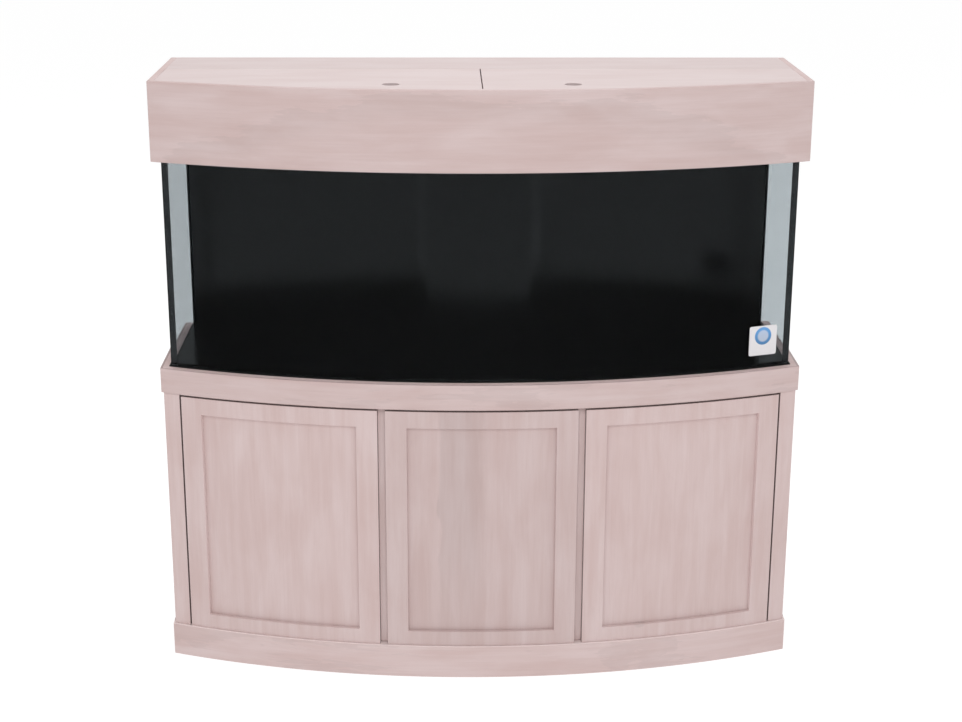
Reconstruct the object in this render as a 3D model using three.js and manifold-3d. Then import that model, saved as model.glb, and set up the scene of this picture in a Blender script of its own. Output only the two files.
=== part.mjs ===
// Bow-front aquarium with a lift-off canopy, standing on a three-door cabinet.
// Millimetres, +Z up, front towards -Y, right towards +X.
// Origin on the floor, in the middle of the footprint.
import * as THREE from 'three';
import { mergeVertices } from 'three/addons/utils/BufferGeometryUtils.js';
import Module from 'manifold-3d';

const wasm = await Module();
wasm.setup();

// ---------- driving dimensions ----------
const GAP = 0.3;
const BACK_Y = 330.5;
const TANK_HALF = 914.4;
const TANK_RADIUS = 2595.6;
const BOW_CENTRE_Y = 2295.1;
const ARC_STEP = THREE.MathUtils.degToRad(1.0);

// how far each outline stands out past the tank glass
const MAT_GROW = 5.5;
const BODY_GROW = 23.6;
const HOOD_GROW = 26.6;
const TRIM_GROW = 30.0;

// stand
const BOARD = 19.0;
const STAND_TOP = 924.8;
const DECK_THICK = 19.8;
const TRIM_BOTTOM = 850.3;
const BASE_HEIGHT = 101.4;
const BASE_THICK = 25.0;
const FLOOR_THICK = 21.0;
const BODY_HALF = TANK_HALF + BODY_GROW;
const BODY_RADIUS = TANK_RADIUS + BODY_GROW;
const TRIM_HALF = TANK_HALF + TRIM_GROW;
const TRIM_RADIUS = TANK_RADIUS + TRIM_GROW;
const RAIL_BOTTOM = 846.3;
const RAIL_THICK = 25.0;
const STILE_EDGE = 908.2;
const MULLION_AT = 292.4;
const MULLION_WIDTH = 60.0;
const MULLION_DEPTH = 19.5;
const MULLION_THICK = 18.0;
const PARTITION_THICK = 18.0;
const BACK_THICK = 9.0;

// doors, with widths measured along the curve of their faces
const DOOR_BOTTOM = 102.6;
const DOOR_TOP = 841.8;
const DOOR_THICK = 16.0;
const DOOR_STILE = 63.5;
const WINDOW_BOTTOM = 147.5;
const WINDOW_TOP = 790.5;
const PANEL_RECESS = 12.0;
const PANEL_REBATE = 8.0;
const OUTER_DOOR = [303.2, 903.6];
const CENTRE_DOOR = [-281.4, 281.4];
const PIN_RADIUS = 2.5;
const PIN_CLEAR = 0.1;
const PIN_IN_DOOR = 20.0;
const PIN_IN_CASE = 12.0;

// tank
const GLASS = 10.0;
const MAT_THICK = 2.4;
const PANE_BOTTOM = 927.8;
const PANE_TOP = 1560.0;
const FLOOR_GLASS = 6.0;
const TANK_BACK = BACK_Y - HOOD_GROW;
const SEAM_THICK = 1.5;
const SEAM_BEAD = 9.0;
const OVERFLOW_HALF = 190.0;
const OVERFLOW_CORNER = 30.0;
const OVERFLOW_FRONT = 150.5;
const OVERFLOW_WALL = 6.0;
const OVERFLOW_TOP = 1540.0;
const DRAIN_Y = 235.0;
const DRAIN_RADIUS = 21.0;
const DRAIN_WALL = 4.0;
const DRAIN_HOLE = 21.6;
const BRACE_HALF = 60.0;
const LABEL_SIZE = 90.0;
const LABEL_X = 829.5;
const LABEL_Z = 1008.0;

// canopy
const HOOD_BOTTOM = 1539.6;
const HOOD_TOP = 1768.8;
const HOOD_HALF = TANK_HALF + HOOD_GROW;
const HOOD_RADIUS = TANK_RADIUS + HOOD_GROW;
const LID_THICK = 19.0;
const LID_HINGE_Y = 91.5;
const LID_RIM = 35.0;
const LID_LEDGE = 25.0;
const LID_SPLIT = 1.6;
const RAIL_HEIGHT = 38.8;
const FINGER_X = 254.0;
const FINGER_Y = -210.5;
const FINGER_RADIUS = 24.0;
const CLEAT_HEIGHT = 24.0;
const LEAF_LENGTH = 700.0;
const FIXED_LEAF_HALF = 820.0;

// ---------- finishes ----------
function finish(color, roughness, metalness, opacity = 1) {
  const material = new THREE.MeshStandardMaterial({ color, roughness, metalness, opacity });
  material.transparent = opacity < 1;
  return material;
}

const TOP_WOOD = finish(0xdfd1d0, 0.6, 0);
const HOOD_WOOD = finish(0xcfbab7, 0.6, 0);
const TRIM_WOOD = finish(0xd2bfbd, 0.6, 0);
const DOOR_WOOD = finish(0xd1bebc, 0.6, 0);
const PANEL_WOOD = finish(0xcbb7b4, 0.6, 0);
const INNER_WOOD = finish(0xb8a09d, 0.7, 0);
const CLEAR_GLASS = finish(0xdfe9ea, 0.03, 0, 0.3);
const BLACK_ACRYLIC = finish(0x0d0d0e, 0.1, 0);
const BLACK_SEAL = finish(0x151516, 0.5, 0);
const MAT_FOAM = finish(0x050505, 0.9, 0);
const STEEL = finish(0xb4b6b8, 0.35, 1);
const PIPE_PLASTIC = finish(0x26272a, 0.5, 0);
const LABEL_VINYL = finish(0xdfe4e8, 0.4, 0);

// ---------- shape helpers ----------
function angleAtX(radius, x) {
  return Math.asin(x / radius);
}

function angleAlong(length) {
  return length / BODY_RADIUS;
}

function arcPoint(radius, angle) {
  return new THREE.Vector2(radius * Math.sin(angle), BOW_CENTRE_Y - radius * Math.cos(angle));
}

// Points on the bow between two angles, on a shared grid so that nested arcs stay parallel.
function arcPoints(radius, from, to) {
  const step = Math.sign(to - from);
  const points = [arcPoint(radius, from)];
  let index = Math.round(from / ARC_STEP);
  while (step * (index * ARC_STEP - from) < ARC_STEP * 0.1) index += step;
  while (step * (to - index * ARC_STEP) > ARC_STEP * 0.1) {
    points.push(arcPoint(radius, index * ARC_STEP));
    index += step;
  }
  points.push(arcPoint(radius, to));
  return points;
}

// Curved board in plan, with ends cut square to the back.
function squareBand(outer, inner, fromX, toX) {
  const front = arcPoints(outer, angleAtX(outer, fromX), angleAtX(outer, toX));
  const back = arcPoints(inner, angleAtX(inner, toX), angleAtX(inner, fromX));
  return new THREE.Shape([...front, ...back]);
}

// Curved board in plan, with ends cut along the radius.
function radialBand(outer, inner, from, to) {
  return new THREE.Shape([...arcPoints(outer, from, to), ...arcPoints(inner, to, from)]);
}

// Flat-backed, bow-fronted outline between two X positions.
function bowOutline(radius, fromX, toX, backY) {
  const points = arcPoints(radius, angleAtX(radius, fromX), angleAtX(radius, toX));
  points.push(new THREE.Vector2(toX, backY), new THREE.Vector2(fromX, backY));
  return new THREE.Shape(points);
}

function rectangle(x0, y0, x1, y1) {
  return new THREE.Shape([
    new THREE.Vector2(x0, y0),
    new THREE.Vector2(x1, y0),
    new THREE.Vector2(x1, y1),
    new THREE.Vector2(x0, y1),
  ]);
}

function roundedRectangle(halfWidth, halfHeight, radius) {
  const shape = new THREE.Shape();
  const w = halfWidth - radius;
  const h = halfHeight - radius;
  shape.absarc(w, h, radius, 0, Math.PI / 2, false);
  shape.absarc(-w, h, radius, Math.PI / 2, Math.PI, false);
  shape.absarc(-w, -h, radius, Math.PI, Math.PI * 1.5, false);
  shape.absarc(w, -h, radius, Math.PI * 1.5, Math.PI * 2, false);
  return shape;
}

function roundHole(shape, x, y, radius) {
  const hole = new THREE.Path();
  hole.absarc(x, y, radius, 0, Math.PI * 2, true);
  shape.holes.push(hole);
  return shape;
}

function slab(shape, height, segments = 12) {
  const options = { depth: height, bevelEnabled: false, curveSegments: segments };
  return new THREE.ExtrudeGeometry(shape, options);
}

function block(x0, y0, z0, x1, y1, z1) {
  const geometry = new THREE.BoxGeometry(x1 - x0, y1 - y0, z1 - z0);
  return geometry.translate((x0 + x1) / 2, (y0 + y1) / 2, (z0 + z1) / 2);
}

function upright(radius, z0, z1, x, y) {
  const geometry = new THREE.CylinderGeometry(radius, radius, z1 - z0, 20);
  geometry.rotateX(Math.PI / 2);
  return geometry.translate(x, y, (z0 + z1) / 2);
}

// ---------- booleans ----------
function toSolid(geometry) {
  const plain = geometry.clone();
  plain.deleteAttribute('normal');
  plain.deleteAttribute('uv');
  const merged = mergeVertices(plain, 1e-4);
  const vertProperties = new Float32Array(merged.attributes.position.array);
  const triVerts = new Uint32Array(merged.index.array);
  return new wasm.Manifold(new wasm.Mesh({ numProp: 3, vertProperties, triVerts }));
}

function toGeometry(solid) {
  const mesh = solid.getMesh();
  const geometry = new THREE.BufferGeometry();
  geometry.setAttribute('position', new THREE.BufferAttribute(mesh.vertProperties, 3));
  geometry.setIndex(new THREE.BufferAttribute(mesh.triVerts, 1));
  const flat = geometry.toNonIndexed();
  flat.computeVertexNormals();
  return flat;
}

function cut(geometry, tools) {
  let solid = toSolid(geometry);
  for (const tool of tools) {
    solid = solid.subtract(toSolid(tool));
  }
  return toGeometry(solid);
}

function join(a, b) {
  return toGeometry(toSolid(a).add(toSolid(b)));
}

// ---------- scene ----------
const aquarium = new THREE.Group();
aquarium.name = 'aquarium_on_stand';
const stand = new THREE.Group();
const tank = new THREE.Group();
const hood = new THREE.Group();
aquarium.add(stand, tank, hood);

function place(group, name, geometry, material, z = 0) {
  const mesh = new THREE.Mesh(geometry, material);
  mesh.name = name;
  mesh.position.z = z;
  group.add(mesh);
  return mesh;
}

const SIDES = [['left', -1], ['right', 1]];

// Door pivots: the outer doors turn at their outer edges, the centre door at its left edge.
const OUTER_PIVOT = { angle: angleAlong(OUTER_DOOR[1] - 10), radius: BODY_RADIUS - 8 };
const CENTRE_PIVOT = { angle: angleAlong(CENTRE_DOOR[0] + 6), radius: BODY_RADIUS - 10 };
const DOORS = [
  {
    name: 'door_left',
    from: angleAlong(-OUTER_DOOR[1]),
    to: angleAlong(-OUTER_DOOR[0]),
    pivot: arcPoint(OUTER_PIVOT.radius, -OUTER_PIVOT.angle),
    catchAt: angleAlong(-OUTER_DOOR[0] - 60),
  },
  {
    name: 'door_centre',
    from: angleAlong(CENTRE_DOOR[0]),
    to: angleAlong(CENTRE_DOOR[1]),
    pivot: arcPoint(CENTRE_PIVOT.radius, CENTRE_PIVOT.angle),
    catchAt: angleAlong(CENTRE_DOOR[1] - 60),
  },
  {
    name: 'door_right',
    from: angleAlong(OUTER_DOOR[0]),
    to: angleAlong(OUTER_DOOR[1]),
    pivot: arcPoint(OUTER_PIVOT.radius, OUTER_PIVOT.angle),
    catchAt: angleAlong(OUTER_DOOR[0] + 60),
  },
];

// ---------- stand: base ----------
const BASE_INNER_RADIUS = TRIM_RADIUS - BASE_THICK;
const baseFront = slab(
  squareBand(TRIM_RADIUS, BASE_INNER_RADIUS, -TRIM_HALF, TRIM_HALF),
  BASE_HEIGHT,
);
const basePinHoles = DOORS.map(({ pivot }) =>
  upright(PIN_RADIUS + PIN_CLEAR, BASE_HEIGHT - PIN_IN_CASE - 1, BASE_HEIGHT + 1, pivot.x, pivot.y));
place(stand, 'base_front', cut(baseFront, basePinHoles), TRIM_WOOD);

for (const [side, sign] of SIDES) {
  const outerX = sign * TRIM_HALF;
  const innerX = sign * (BODY_HALF + GAP);
  const radius = BASE_INNER_RADIUS - GAP;
  const shape = new THREE.Shape([
    arcPoint(radius, angleAtX(radius, innerX)),
    arcPoint(radius, angleAtX(radius, outerX)),
    new THREE.Vector2(outerX, BACK_Y),
    new THREE.Vector2(innerX, BACK_Y),
  ]);
  place(stand, `base_${side}`, slab(shape, BASE_HEIGHT), TRIM_WOOD);
}

const floorShape = bowOutline(
  BASE_INNER_RADIUS - GAP,
  -(BODY_HALF - BOARD - GAP),
  BODY_HALF - BOARD - GAP,
  BACK_Y - BACK_THICK - GAP,
);
place(stand, 'floor_panel', slab(floorShape, FLOOR_THICK), INNER_WOOD, BASE_HEIGHT - FLOOR_THICK);

// ---------- stand: case ----------
const CASE_TOP = STAND_TOP - DECK_THICK;
const STILE_BACK = BODY_RADIUS - BOARD;
for (const [side, sign] of SIDES) {
  const outerX = sign * BODY_HALF;
  const innerX = sign * (BODY_HALF - BOARD);
  const radius = BASE_INNER_RADIUS - GAP - 0.4;
  const panel = new THREE.Shape([
    arcPoint(radius, angleAtX(radius, innerX)),
    arcPoint(radius, angleAtX(radius, outerX)),
    new THREE.Vector2(outerX, BACK_Y),
    new THREE.Vector2(innerX, BACK_Y),
  ]);
  place(stand, `side_panel_${side}`, slab(panel, CASE_TOP - GAP), TRIM_WOOD);

  const edge = sign * angleAlong(STILE_EDGE);
  const stile = new THREE.Shape([
    ...arcPoints(BODY_RADIUS, angleAtX(BODY_RADIUS, outerX), edge),
    ...arcPoints(STILE_BACK, edge, angleAtX(STILE_BACK, outerX)),
  ]);
  const stileHeight = CASE_TOP - BASE_HEIGHT - 2 * GAP;
  place(stand, `face_stile_${side}`, slab(stile, stileHeight), TRIM_WOOD, BASE_HEIGHT + GAP);
}

const railEnd = angleAlong(STILE_EDGE - GAP);
const faceRail = slab(
  radialBand(BODY_RADIUS, BODY_RADIUS - RAIL_THICK, -railEnd, railEnd),
  CASE_TOP - GAP - RAIL_BOTTOM,
);
faceRail.translate(0, 0, RAIL_BOTTOM);
const railPinHoles = DOORS.map(({ pivot }) =>
  upright(PIN_RADIUS + PIN_CLEAR, RAIL_BOTTOM - 1, RAIL_BOTTOM + PIN_IN_CASE + 1, pivot.x, pivot.y));
place(stand, 'face_top_rail', cut(faceRail, railPinHoles), TRIM_WOOD);

for (const [side, sign] of SIDES) {
  const centre = sign * MULLION_AT;
  const front = BODY_RADIUS - MULLION_DEPTH;
  const back = front - MULLION_THICK;
  const shape = radialBand(
    front,
    back,
    angleAlong(centre - MULLION_WIDTH / 2),
    angleAlong(centre + MULLION_WIDTH / 2),
  );
  const height = RAIL_BOTTOM - BASE_HEIGHT - 2 * GAP;
  place(stand, `mullion_${side}`, slab(shape, height), INNER_WOOD, BASE_HEIGHT + GAP);

  const x0 = centre - PARTITION_THICK / 2;
  const x1 = centre + PARTITION_THICK / 2;
  const partition = slab(
    bowOutline(back - 7, x0, x1, BACK_Y - BACK_THICK - GAP),
    CASE_TOP - BASE_HEIGHT - 2 * GAP,
  );
  partition.translate(0, 0, BASE_HEIGHT + GAP);
  const passage = block(x0 - 5, -190, 210, x1 + 5, 250, 760);
  place(stand, `partition_${side}`, cut(partition, [passage]), INNER_WOOD);
}

const backWidth = BODY_HALF - BOARD - GAP;
const backPanel = rectangle(-backWidth, 0, backWidth, CASE_TOP - GAP);
for (const sign of [-1, 1]) {
  const cutout = new THREE.Path();
  const points = roundedRectangle(120, 70, 30).getPoints(6);
  points.forEach((point) => point.add(new THREE.Vector2(sign * 600, 700)));
  cutout.setFromPoints(points.reverse());
  backPanel.holes.push(cutout);
}
const backMesh = place(stand, 'back_panel', slab(backPanel, BACK_THICK), INNER_WOOD);
backMesh.rotation.x = Math.PI / 2;
backMesh.position.y = BACK_Y;

// ---------- stand: top ----------
const deck = bowOutline(BODY_RADIUS, -BODY_HALF, BODY_HALF, BACK_Y);
roundHole(deck, 0, DRAIN_Y, DRAIN_HOLE);
place(stand, 'top_deck', slab(deck, DECK_THICK), TRIM_WOOD, CASE_TOP);

const TRIM_HEIGHT = STAND_TOP - TRIM_BOTTOM;
const trimFront = squareBand(TRIM_RADIUS, BODY_RADIUS + GAP, -TRIM_HALF, TRIM_HALF);
place(stand, 'top_trim_front', slab(trimFront, TRIM_HEIGHT), TRIM_WOOD, TRIM_BOTTOM);
for (const [side, sign] of SIDES) {
  const outerX = sign * TRIM_HALF;
  const innerX = sign * (BODY_HALF + GAP);
  const shape = new THREE.Shape([
    arcPoint(BODY_RADIUS, angleAtX(BODY_RADIUS, innerX)),
    arcPoint(BODY_RADIUS, angleAtX(BODY_RADIUS, outerX)),
    new THREE.Vector2(outerX, BACK_Y),
    new THREE.Vector2(innerX, BACK_Y),
  ]);
  place(stand, `top_trim_${side}`, slab(shape, TRIM_HEIGHT), TRIM_WOOD, TRIM_BOTTOM);
}

// ---------- doors ----------
const stileAngle = angleAlong(DOOR_STILE);
const rebateAngle = angleAlong(DOOR_STILE - PANEL_REBATE);
const DOOR_BACK = BODY_RADIUS - DOOR_THICK;
for (const { name, from, to, pivot, catchAt } of DOORS) {
  const frame = slab(radialBand(BODY_RADIUS, DOOR_BACK, from, to), DOOR_TOP - DOOR_BOTTOM);
  frame.translate(0, 0, DOOR_BOTTOM);
  const opening = slab(
    radialBand(BODY_RADIUS + 2, DOOR_BACK - 2, from + stileAngle, to - stileAngle),
    WINDOW_TOP - WINDOW_BOTTOM,
  );
  opening.translate(0, 0, WINDOW_BOTTOM);
  const panelFront = BODY_RADIUS - PANEL_RECESS;
  const rebate = slab(
    radialBand(panelFront, DOOR_BACK - 2, from + rebateAngle, to - rebateAngle),
    WINDOW_TOP - WINDOW_BOTTOM + 2 * PANEL_REBATE,
  );
  rebate.translate(0, 0, WINDOW_BOTTOM - PANEL_REBATE);
  const sockets = [
    upright(PIN_RADIUS + PIN_CLEAR, DOOR_BOTTOM - 1, DOOR_BOTTOM + PIN_IN_DOOR, pivot.x, pivot.y),
    upright(PIN_RADIUS + PIN_CLEAR, DOOR_TOP - PIN_IN_DOOR, DOOR_TOP + 1, pivot.x, pivot.y),
  ];
  place(stand, `${name}_frame`, cut(frame, [opening, rebate, ...sockets]), DOOR_WOOD);

  const inset = angleAlong(GAP);
  const panel = radialBand(
    panelFront - GAP,
    DOOR_BACK,
    from + rebateAngle + inset,
    to - rebateAngle - inset,
  );
  const panelHeight = WINDOW_TOP - WINDOW_BOTTOM + 2 * (PANEL_REBATE - GAP);
  const panelZ = WINDOW_BOTTOM - PANEL_REBATE + GAP;
  place(stand, `${name}_panel`, slab(panel, panelHeight), PANEL_WOOD, panelZ);

  // the lower pin has a collar that carries the door's weight
  const lowerPin = new THREE.LatheGeometry([
    new THREE.Vector2(0, BASE_HEIGHT - PIN_IN_CASE),
    new THREE.Vector2(PIN_RADIUS, BASE_HEIGHT - PIN_IN_CASE),
    new THREE.Vector2(PIN_RADIUS, BASE_HEIGHT + GAP),
    new THREE.Vector2(6, BASE_HEIGHT + GAP),
    new THREE.Vector2(6, DOOR_BOTTOM - GAP),
    new THREE.Vector2(PIN_RADIUS, DOOR_BOTTOM - GAP),
    new THREE.Vector2(PIN_RADIUS, DOOR_BOTTOM + PIN_IN_DOOR - 0.5),
    new THREE.Vector2(0, DOOR_BOTTOM + PIN_IN_DOOR - 0.5),
  ], 20);
  lowerPin.rotateX(Math.PI / 2);
  lowerPin.translate(pivot.x, pivot.y, 0);
  place(stand, `${name}_pin_lower`, lowerPin, STEEL);
  const upperPin = upright(
    PIN_RADIUS,
    DOOR_TOP - PIN_IN_DOOR + 0.5,
    RAIL_BOTTOM + PIN_IN_CASE,
    pivot.x,
    pivot.y,
  );
  place(stand, `${name}_pin_upper`, upperPin, STEEL);

  const magnet = radialBand(
    DOOR_BACK - GAP,
    DOOR_BACK - 15,
    catchAt - angleAlong(20),
    catchAt + angleAlong(20),
  );
  place(stand, `${name}_catch`, slab(magnet, 14), STEEL, RAIL_BOTTOM - GAP - 14);
}

// ---------- tank ----------
const PANE_HEIGHT = PANE_TOP - PANE_BOTTOM;
const mat = bowOutline(
  TANK_RADIUS + MAT_GROW,
  -(TANK_HALF + MAT_GROW),
  TANK_HALF + MAT_GROW,
  TANK_BACK + MAT_GROW,
);
roundHole(mat, 0, DRAIN_Y, DRAIN_HOLE);
place(tank, 'tank_mat', slab(mat, MAT_THICK), MAT_FOAM, STAND_TOP + GAP);

const innerHalf = TANK_HALF - GLASS - GAP;
const floorGlass = bowOutline(
  TANK_RADIUS - GLASS - GAP,
  -innerHalf,
  innerHalf,
  TANK_BACK - GLASS - GAP,
);
roundHole(floorGlass, 0, DRAIN_Y, DRAIN_HOLE);
place(tank, 'tank_floor', slab(floorGlass, FLOOR_GLASS), BLACK_ACRYLIC, PANE_BOTTOM);

const frontPane = squareBand(TANK_RADIUS, TANK_RADIUS - GLASS, -TANK_HALF, TANK_HALF);
place(tank, 'tank_front_pane', slab(frontPane, PANE_HEIGHT), CLEAR_GLASS, PANE_BOTTOM);

const seamRadius = TANK_RADIUS - GLASS - GAP;
for (const [side, sign] of SIDES) {
  const outerX = sign * TANK_HALF;
  const innerX = sign * (TANK_HALF - GLASS);
  const radius = TANK_RADIUS - GLASS - SEAM_THICK - 2 * GAP;
  const pane = new THREE.Shape([
    arcPoint(radius, angleAtX(radius, innerX)),
    arcPoint(radius, angleAtX(radius, outerX)),
    new THREE.Vector2(outerX, TANK_BACK),
    new THREE.Vector2(innerX, TANK_BACK),
  ]);
  place(tank, `tank_side_pane_${side}`, slab(pane, PANE_HEIGHT), CLEAR_GLASS, PANE_BOTTOM);

  const beadX = sign * (TANK_HALF - GLASS - SEAM_BEAD);
  const clearX = sign * (TANK_HALF - GLASS - GAP);
  const thin = seamRadius - SEAM_THICK;
  const corner = arcPoint(thin, angleAtX(thin, clearX));
  const seam = new THREE.Shape([
    arcPoint(seamRadius, angleAtX(seamRadius, outerX)),
    arcPoint(seamRadius, angleAtX(seamRadius, beadX)),
    new THREE.Vector2(clearX - sign * 2.5, corner.y + 2.5),
    new THREE.Vector2(clearX, corner.y + SEAM_BEAD),
    corner,
    arcPoint(thin, angleAtX(thin, outerX)),
  ]);
  const seamZ = PANE_BOTTOM + FLOOR_GLASS + GAP;
  place(tank, `tank_seam_${side}`, slab(seam, PANE_TOP - seamZ), BLACK_SEAL, seamZ);
}

const backPane = rectangle(-innerHalf, TANK_BACK - GLASS, innerHalf, TANK_BACK);
place(tank, 'tank_back_pane', slab(backPane, PANE_HEIGHT), BLACK_ACRYLIC, PANE_BOTTOM);

function overflowPath(inset) {
  const half = OVERFLOW_HALF - inset;
  const front = OVERFLOW_FRONT + inset;
  const corner = OVERFLOW_CORNER - inset * 0.59;
  const back = TANK_BACK - GLASS - GAP;
  return [
    new THREE.Vector2(-half, back),
    new THREE.Vector2(-half, front + corner),
    new THREE.Vector2(-half + corner, front),
    new THREE.Vector2(half - corner, front),
    new THREE.Vector2(half, front + corner),
    new THREE.Vector2(half, back),
  ];
}

const OVERFLOW_BOTTOM = PANE_BOTTOM + FLOOR_GLASS + GAP;
const overflowShape = new THREE.Shape([
  ...overflowPath(0),
  ...overflowPath(OVERFLOW_WALL).reverse(),
]);
const overflowHeight = OVERFLOW_TOP - OVERFLOW_BOTTOM;
place(tank, 'overflow_box', slab(overflowShape, overflowHeight), BLACK_ACRYLIC, OVERFLOW_BOTTOM);

const drain = new THREE.Shape();
drain.absarc(0, DRAIN_Y, DRAIN_RADIUS, 0, Math.PI * 2, false);
roundHole(drain, 0, DRAIN_Y, DRAIN_RADIUS - DRAIN_WALL);
place(tank, 'drain_pipe', slab(drain, 620), PIPE_PLASTIC, 870);

const brace = bowOutline(
  TANK_RADIUS - GLASS - GAP,
  -BRACE_HALF,
  BRACE_HALF,
  TANK_BACK - GLASS - GAP,
);
place(tank, 'tank_centre_brace', slab(brace, 10), CLEAR_GLASS, PANE_TOP - 12);

const labelHalf = LABEL_SIZE / 2;
const labelAngle = angleAtX(TANK_RADIUS, LABEL_X);
const label = slab(roundedRectangle(labelHalf, labelHalf, 14), 0.5, 6);
label.rotateX(Math.PI / 2);
const labelMesh = place(tank, 'tank_label', label, LABEL_VINYL, LABEL_Z);
const labelPoint = arcPoint(TANK_RADIUS + GAP, labelAngle);
labelMesh.position.x = labelPoint.x;
labelMesh.position.y = labelPoint.y;
labelMesh.rotation.z = labelAngle;

// ---------- canopy ----------
const HOOD_HEIGHT = HOOD_TOP - HOOD_BOTTOM;
const HOOD_INNER = HOOD_RADIUS - BOARD;
const hoodFront = squareBand(HOOD_RADIUS, HOOD_INNER, -HOOD_HALF, HOOD_HALF);
place(hood, 'hood_front', slab(hoodFront, HOOD_HEIGHT), HOOD_WOOD, HOOD_BOTTOM);

for (const [side, sign] of SIDES) {
  const outerX = sign * HOOD_HALF;
  const innerX = sign * (HOOD_HALF - BOARD);
  const radius = HOOD_INNER - GAP;
  const board = new THREE.Shape([
    arcPoint(radius, angleAtX(radius, innerX)),
    arcPoint(radius, angleAtX(radius, outerX)),
    new THREE.Vector2(outerX, BACK_Y),
    new THREE.Vector2(innerX, BACK_Y),
  ]);
  place(hood, `hood_side_${side}`, slab(board, HOOD_HEIGHT), HOOD_WOOD, HOOD_BOTTOM);
}

const hoodClear = HOOD_HALF - BOARD - GAP;
const LID_BOTTOM = HOOD_TOP - LID_THICK;
const hoodBack = rectangle(-hoodClear, BACK_Y - BOARD, hoodClear, BACK_Y);
place(hood, 'hood_back', slab(hoodBack, LID_BOTTOM - GAP - HOOD_BOTTOM), HOOD_WOOD, HOOD_BOTTOM);

function leafPocket(sign, y0, y1) {
  const x0 = sign * hoodClear / 2 - LEAF_LENGTH / 2 - 1;
  return block(x0, y0, HOOD_TOP - 15, x0 + LEAF_LENGTH + 2, y1, HOOD_TOP - 3);
}

function hingeLeaf(sign, y0, y1) {
  const x0 = sign * hoodClear / 2 - LEAF_LENGTH / 2;
  return block(x0, y0, HOOD_TOP - 14.5, x0 + LEAF_LENGTH, y1, HOOD_TOP - 3.5);
}

const stripFrontY = LID_HINGE_Y + 0.4;
const strip = block(-hoodClear, stripFrontY, LID_BOTTOM, hoodClear, BACK_Y, HOOD_TOP);
const stripPocket = block(
  -FIXED_LEAF_HALF - 1,
  stripFrontY - 1,
  HOOD_TOP - 15,
  FIXED_LEAF_HALF + 1,
  stripFrontY + 2,
  HOOD_TOP - 3,
);
place(hood, 'hood_top_strip', cut(strip, [stripPocket]), TOP_WOOD);
const fixedLeaf = block(
  -FIXED_LEAF_HALF,
  stripFrontY + GAP,
  HOOD_TOP - 14.5,
  FIXED_LEAF_HALF,
  stripFrontY + 1.7,
  HOOD_TOP - 3.5,
);
place(hood, 'hood_hinge_leaf', fixedLeaf, STEEL);

const RIM_RADIUS = HOOD_RADIUS - LID_RIM;
const rimTop = slab(squareBand(HOOD_INNER - GAP, RIM_RADIUS, -hoodClear, hoodClear), RAIL_HEIGHT);
const ledgeHeight = RAIL_HEIGHT - LID_THICK - GAP;
const ledge = slab(
  squareBand(RIM_RADIUS + 1, RIM_RADIUS - LID_LEDGE, -hoodClear, hoodClear),
  ledgeHeight,
);
place(hood, 'hood_front_rail', join(rimTop, ledge), TOP_WOOD, HOOD_TOP - RAIL_HEIGHT);

const barShape = bowOutline(
  RIM_RADIUS - LID_LEDGE - GAP,
  -30,
  30,
  BACK_Y - BOARD - GAP,
);
place(hood, 'hood_centre_bar', slab(barShape, ledgeHeight), INNER_WOOD, HOOD_TOP - RAIL_HEIGHT);

const CLEAT_INNER = HOOD_INNER - 21;
const frontCleat = squareBand(HOOD_INNER - GAP, CLEAT_INNER, -hoodClear, hoodClear);
place(hood, 'hood_cleat_front', slab(frontCleat, CLEAT_HEIGHT), INNER_WOOD, PANE_TOP + GAP);
for (const [side, sign] of SIDES) {
  const outerX = sign * hoodClear;
  const innerX = sign * (hoodClear - 20.7);
  const radius = CLEAT_INNER - GAP;
  const cleat = new THREE.Shape([
    arcPoint(radius, angleAtX(radius, innerX)),
    arcPoint(radius, angleAtX(radius, outerX)),
    new THREE.Vector2(outerX, BACK_Y - BOARD - GAP),
    new THREE.Vector2(innerX, BACK_Y - BOARD - GAP),
  ]);
  place(hood, `hood_cleat_${side}`, slab(cleat, CLEAT_HEIGHT), INNER_WOOD, PANE_TOP + GAP);
}

// ---------- lids ----------
for (const [side, sign] of SIDES) {
  const edges = [sign * LID_SPLIT, sign * (hoodClear - GAP)].sort((a, b) => a - b);
  const backEdge = LID_HINGE_Y - 0.4;
  const shape = bowOutline(RIM_RADIUS - GAP, edges[0], edges[1], backEdge);
  roundHole(shape, sign * FINGER_X, FINGER_Y, FINGER_RADIUS);
  const board = slab(shape, LID_THICK, 20);
  board.translate(0, 0, LID_BOTTOM);
  const pocket = leafPocket(sign, backEdge - 2, backEdge + 1);
  place(hood, `lid_${side}`, cut(board, [pocket]), TOP_WOOD);
  const movingLeaf = hingeLeaf(sign, backEdge - 1.7, backEdge - GAP);
  place(hood, `lid_${side}_hinge_leaf`, movingLeaf, STEEL);
}

export default aquarium;
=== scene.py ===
"""Visual model of a bow-front aquarium on a three-door cabinet, in metres.

+Z is up and the bowed front faces -Y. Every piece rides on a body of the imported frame.
"""

import logging
import math
from collections.abc import Callable, Sequence
from dataclasses import dataclass
from enum import Enum

import bmesh
import bpy
from mathutils import Matrix, Vector
from mathutils.geometry import tessellate_polygon


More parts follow.
